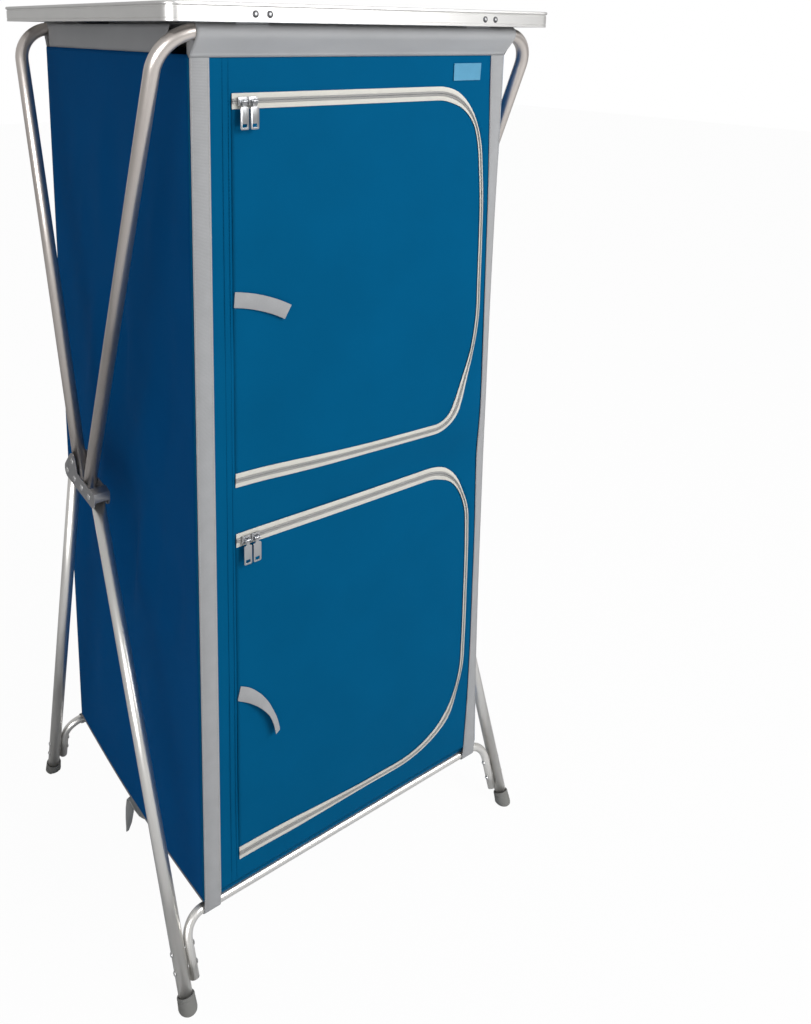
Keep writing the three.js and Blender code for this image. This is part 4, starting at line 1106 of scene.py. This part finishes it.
# %% [markdown]
# Grey cloth bands run from the top of the front and back up and over the top bars. Each is a
# sheet over a bent route, with slight ripples where it is pulled.
# %% bands
BAND_REACH = 0.252


def band_route(side, bar):
    radius = TUBE_RADIUS + 1 * MM
    depth = face_depth(TOP) + 0.8 * MM
    low = Vector((side * depth, TOP - 2 * MM))
    turn_up = Vector((side * depth, TOP))
    finish = -2 * pi if side < 0 else pi
    wrap = arc(bar, radius, tangent_angle(turn_up, bar, radius, side), finish, 22)
    straight = [turn_up.lerp(wrap[0], i / 6) for i in range(6)]
    return [low, *straight, *wrap]


RETURN_OUTLINE = [(240.5, 1258), (236, 1259), (236, 1296), (241, 1296), (241.4, 1287), (244, 1280),
                  (249, 1277), (255, 1277)]
RETURN_X = 251.6 * MM


def make_return(name, sign):
    """The end of the front band, turned round the corner onto the side."""
    bm = bmesh.new()
    points = [Vector((sign * RETURN_X, -depth * MM, height * MM)) for depth, height in RETURN_OUTLINE]
    face = bm.faces.new([bm.verts.new(point) for point in points])
    bmesh.ops.triangulate(bm, faces=[face])
    lay_flat(bm, (1, 2))
    piece = keep(name, bm, grey_cloth, "front_cloth")
    thicken(piece, 0.8 * MM, 0)
    return piece


def make_band(end, side, bar):
    route = band_route(side, bar)
    run = distances(route, False)
    bm = grid_cloth(-BAND_REACH, BAND_REACH, 0, run[-1], 4 * MM)

    def shape(x, along):
        spot, _ = on_path(route, run, along)
        free = max(0, sin(pi * min(1, along / run[7])))
        ripple = softness(x, along, 2.5 + side, 0.06) * 1.2 * MM * free
        return Vector((x, spot.x + side * ripple, spot.y))

    finish_cloth(bm, shape)
    band = keep(f"{end}_band_cloth", bm, grey_cloth, f"{end}_cloth", [f"{end}_band"])
    thicken(band, 1 * MM, 0)


returns = [make_return(f"front_band_return_{hand}", sign) for hand, sign in HANDS]
make_band("front", -1, FRONT_BAR)
make_band("back", 1, REAR_BAR)
print("bands made")

# %% [markdown]
# The side panels are the slackest cloth: sewn at the corners and to the shelves inside, and
# loose between them. Upright folds run down them, deepest in the middle.
# %% side panels
SHELVES = (0.397, 0.676, 0.955)
PANEL_TOP = 1.261
HEM_DIP = 13 * MM
PANEL_MAP = (0.465, 1.15)


def crumple(piece):
    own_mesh(piece)


def side_shape(sign):
    def shape(share, z):
        bottom = BOTTOM - HEM_DIP * sin(pi * share)
        height = bottom + (PANEL_TOP - bottom) * z
        reach = face_depth(height) - 1.5 * MM
        depth = -reach + 2 * reach * share
        free = sin(pi * share) ** 0.7 * max(0, sin(pi * z)) ** 0.9
        held = min(1, *[0.1 + abs(height - level) / 0.10 for level in SHELVES])
        folds = sin(share * 5 * pi + 1.5 * softness(share, z, 7.5, 0.4)) * 4.5 * MM
        creases = softness(depth * 1.6 + height * 0.35, height * 0.5, 5.5 + sign, 0.08) * 9 * MM
        fine = softness(depth, height, 2.5 - sign, 0.03) * 0.5 * MM
        x = HALF - free * (5 * MM + held * (folds + creases) + fine)
        spot = Vector((sign * x, depth, height))
        if sign > 0 and share < 0.3:
            spot += front_give(HALF, height) * (1 - share / 0.3)
        return spot

    return shape


def make_side_panel(hand, sign):
    bm = grid_sheet(90, 200)
    shape = side_shape(sign)
    finish_cloth(bm, shape, PANEL_MAP)
    panel = keep(f"shaded_side_cloth_{hand}", bm, shaded_side_cloth, "rear_frame", [f"side_panel_{hand}"])
    thicken(panel, CLOTH_THICK)
    bm = sweep(round_ring(1.3 * MM, 8), [shape(i / 40, 0) for i in range(41)], Z_AXIS)
    hem = keep(f"side_hem_{hand}", bm, grey_webbing, "rear_frame")
    crumple(hem)
    crumple(panel)


for hand, sign in HANDS:
    make_side_panel(hand, sign)
print("side panels made")

# %% [markdown]
# Above each side panel a grey strip closes the gap to the table. Its front end is cut at a
# slant behind the front tube.
# %% side bands
BAND_LOW = 1.258
BAND_RISE = 1.295 - BAND_LOW
BAND_REAR = 0.2297
BAND_FRONT = (-0.168, -0.191)
BAND_X = 0.2510
BAND_MAP = 0.42


def make_side_band(hand, sign):
    def shape(x, z):
        across, up = x + 0.5, z + 0.5
        low, high = [front + (BAND_REAR - front) * across for front in BAND_FRONT]
        depth = low + (high - low) * up
        ripple = softness(depth, up * 0.04, 11.5 + sign, 0.05) * 1.3 * MM * sin(pi * across)
        return Vector((sign * (BAND_X - ripple), depth, BAND_LOW + BAND_RISE * up))

    bm = grid_sheet(60, 8, -0.5, 0.5, -0.5, 0.5)
    finish_cloth(bm, shape, (BAND_MAP, BAND_RISE))
    band = keep(f"side_band_cloth_{hand}", bm, grey_cloth, "rear_frame", [f"side_band_{hand}"])
    thicken(band, 1 * MM, 0)
    crumple(band)


for hand, sign in HANDS:
    make_side_band(hand, sign)
print("side bands made")

# %% [markdown]
# The shelves and the floor are stiff boards covered with the same cloth. They are rounded
# slabs, a little lower in the middle.
# %% shelves and floor
DECK_GAP = 5 * MM
DECK_SAG = 2 * MM


def make_deck(name, node):
    low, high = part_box(node)
    size = Vector(high) - Vector(low) - Y_AXIS * (2 * DECK_GAP)
    bm = block(size, (Vector(high) + Vector(low)) / 2)
    round_edges(bm, bm.edges[:], 2 * MM)
    longest = [line for line in bm.edges if line.calc_length() > 0.2]
    bmesh.ops.subdivide_edges(bm, edges=longest, cuts=24, use_grid_fill=True)
    lay_flat(bm, (0, 1))
    for vert in bm.verts:
        free = cos(pi * vert.co.x / size.x) * cos(pi * vert.co.y / size.y)
        vert.co.z -= DECK_SAG * max(0, free)
        if vert.co.x > 0 and vert.co.y < 0:
            corner = (vert.co.x / HALF) ** 8
            back = max(0, front_give(HALF, vert.co.z).y) * min(1, -vert.co.y / 0.2)
            vert.co.y += corner * (back + 2 * MM)
    deck = keep(name, bm, blue_cloth, "rear_frame", [node])
    crumple(deck)


for node in ("shelf_1", "shelf_2", "shelf_3", "floor_deck"):
    make_deck(f"{node}_board", node)
print("shelves made")

# %% [markdown]
# A webbing tail hangs below the left side. It binds the cupboard when it is folded away.
# %% storage strap
STRAP_PLACES = [
    (-233, -50, 103.8, 0, 1), (-233, -34, 97, 3, 1), (-234, -14, 84, 6, 1), (-235, 4, 76, 10, 0.95),
    (-237, 20, 76, 14, 0.9), (-239, 31, 82, 18, 0.85), (-241, 39, 86, 20, 0.8), (-243, 43, 81, 22, 0.75),
    (-244.5, 44, 66, 22, 0.75), (-246, 43.5, 48, 22, 0.7), (-248, 43, 32, 22, 0.5), (-251, 43, 21, 22, 0.2),
]
strap_path = [Vector(place[:3]) * MM for place in STRAP_PLACES]
strap_sides = [Matrix.Rotation(radians(place[3]), 3, "Z") @ X_AXIS for place in STRAP_PLACES]
strap_shares = [(place[4], 1) for place in STRAP_PLACES]
strap_mesh = sweep(WEB_RING, strap_path, strap_sides, shares=strap_shares)
strap = keep("storage_strap_webbing", strap_mesh, lit_strap_webbing, "rear_frame", ["storage_strap"])
crumple(strap)
print("strap made")

# %% [markdown]
# The patch at the top right of the front is a bare woven label with a raised rim.
# %% label patch
LABEL_SIZE = (0.052, 0.6 * MM, 0.024)
LABEL_MIDDLE = (0.182, -0.8 * MM, 1.235)


def make_patch():
    bm = block(LABEL_SIZE, LABEL_MIDDLE)
    face = min(bm.faces, key=lambda f: f.calc_center_median().y)
    bmesh.ops.inset_region(bm, faces=[face], thickness=1.2 * MM, depth=-0.15 * MM)
    lay_flat(bm)
    add_to_front(bm, 0)
    keep("label_patch_weave", bm, patch_weave, "front_cloth", ["label_patch"])


make_patch()
print("label patch made")

# %% [markdown]
# Seams are what makes cloth read as sewn. Each stitch is a tiny bar, laid along a line on the
# cloth, and all the stitches along one kind of line are one piece.
# %% stitches
STITCH = 3.2 * MM
STITCH_GAP = 1.3 * MM
STITCH_THICK = 0.7 * MM
SEAM_X = (-0.2085, -0.2005)


def upright(x, z0, z1, depth):
    return [Vector((x, depth, z0)), Vector((x, depth, z1))]


def make_stitches(name, paths, mat, thread, body, give=None):
    bm = bmesh.new()
    size = Matrix.Diagonal((STITCH_THICK, STITCH_THICK * 0.8, STITCH, 1))
    for path in paths:
        run = distances(path, False)
        place = STITCH_GAP
        while place + STITCH < run[-1]:
            spot, along = on_path(path, run, place + STITCH / 2)
            bmesh.ops.create_cube(bm, size=1, matrix=posed(spot, Y_AXIS.cross(along), Y_AXIS, along) @ size)
            place += STITCH + STITCH_GAP
    move(bm, mat)
    if give:
        settle(bm, give)
    keep(name, bm, thread, body)


seams = [upright(x, BOTTOM + 2 * MM, TOP - 2 * MM, 0) for x in SEAM_X]
make_stitches("front_seam_stitches", seams, FRONT, blue_thread, "front_cloth", front_give)
web_lines = [upright(sign * x, BOTTOM, TOP - 3 * MM, -1.8 * MM)
             for sign in (-1, 1) for x in (WEB_LOW + 2 * MM, WEB_LOW + WEB_WIDTH - 2 * MM)]
make_stitches("front_webbing_stitches", web_lines, FRONT, grey_thread, "front_cloth", webbing_give)
back_lines = [[Vector((p.x, -p.y, p.z)) for p in line] for line in web_lines]
make_stitches("back_webbing_stitches", back_lines, BACK, grey_thread, "back_cloth")
print("stitches made")

# %% [markdown]
# The room is plain: a pale floor, a white backdrop, one large soft lamp at the front right, a
# weaker one at the left, and a pale sky. The floor is drawn brighter for the camera alone, so
# that the background is white and a trace of the shadow stays.
# %% floor, lamps and sky
FLOOR_HALF = 12
FLOOR_GLOW = 0.97
SKY_FOR_CLOTH = 0.36
SKY_FOR_METAL = 0.5
WHITE = (1, 1, 1, 1)


def make_floor():
    bm = bmesh.new()
    bmesh.ops.create_grid(bm, x_segments=1, y_segments=1, size=FLOOR_HALF)
    mesh = mesh_from("floor", bm)
    pale = Finish("floor_paint")
    pale.looks(base_color=(0.82, 0.82, 0.82, 1), roughness=0.9)
    seen = pale.node("ShaderNodeLightPath", output="Is Camera Ray")
    glow = pale.node("ShaderNodeEmission", None, {"Color": WHITE, "Strength": 1})
    surface = Wire(pale, pale.surface.outputs[0])
    blend = pale.node("ShaderNodeMixShader", None, {0: seen * FLOOR_GLOW, 1: surface, 2: glow})
    pale.feed(pale.tree.nodes["Material Output"].inputs["Surface"], blend)
    mesh.materials.append(pale.holder)
    link("floor", mesh)


def make_lamp(name, place, target, size, power, lights_cloth=True):
    data = bpy.data.lights.new(name, "AREA")
    data.size = size
    data.energy = power
    lamp = link(name, data)
    look = (Vector(target) - Vector(place)).to_track_quat("-Z", "Y").to_matrix().to_4x4()
    lamp.matrix_world = Matrix.Translation(place) @ look
    lamp.visible_diffuse = lights_cloth


def make_sky():
    """White for the camera, softer for cloth, and a little brighter in the metal."""
    sky = Finish("sky", True)
    bpy.context.scene.world = sky.holder
    inputs = {"Value": sky.node("ShaderNodeLightPath", output="Is Glossy Ray"),
              "To Min": SKY_FOR_CLOTH, "To Max": SKY_FOR_METAL}
    mirrored = sky.node("ShaderNodeMapRange", None, inputs)
    seen = sky.node("ShaderNodeLightPath", output="Is Camera Ray")
    sky.looks(color=WHITE, strength=seen.maths("MAXIMUM", mirrored))


make_floor()
make_sky()
make_lamp("key_lamp", (1.2, -2.8, 2.4), (0, -0.2, 0.7), 1.8, 81)
make_lamp("left_lamp", (-2.2, -1.8, 1.2), (-0.3, 0, 0.6), 1.2, 55, False)
bpy.context.scene.view_settings.view_transform = "Standard"
print("room made")
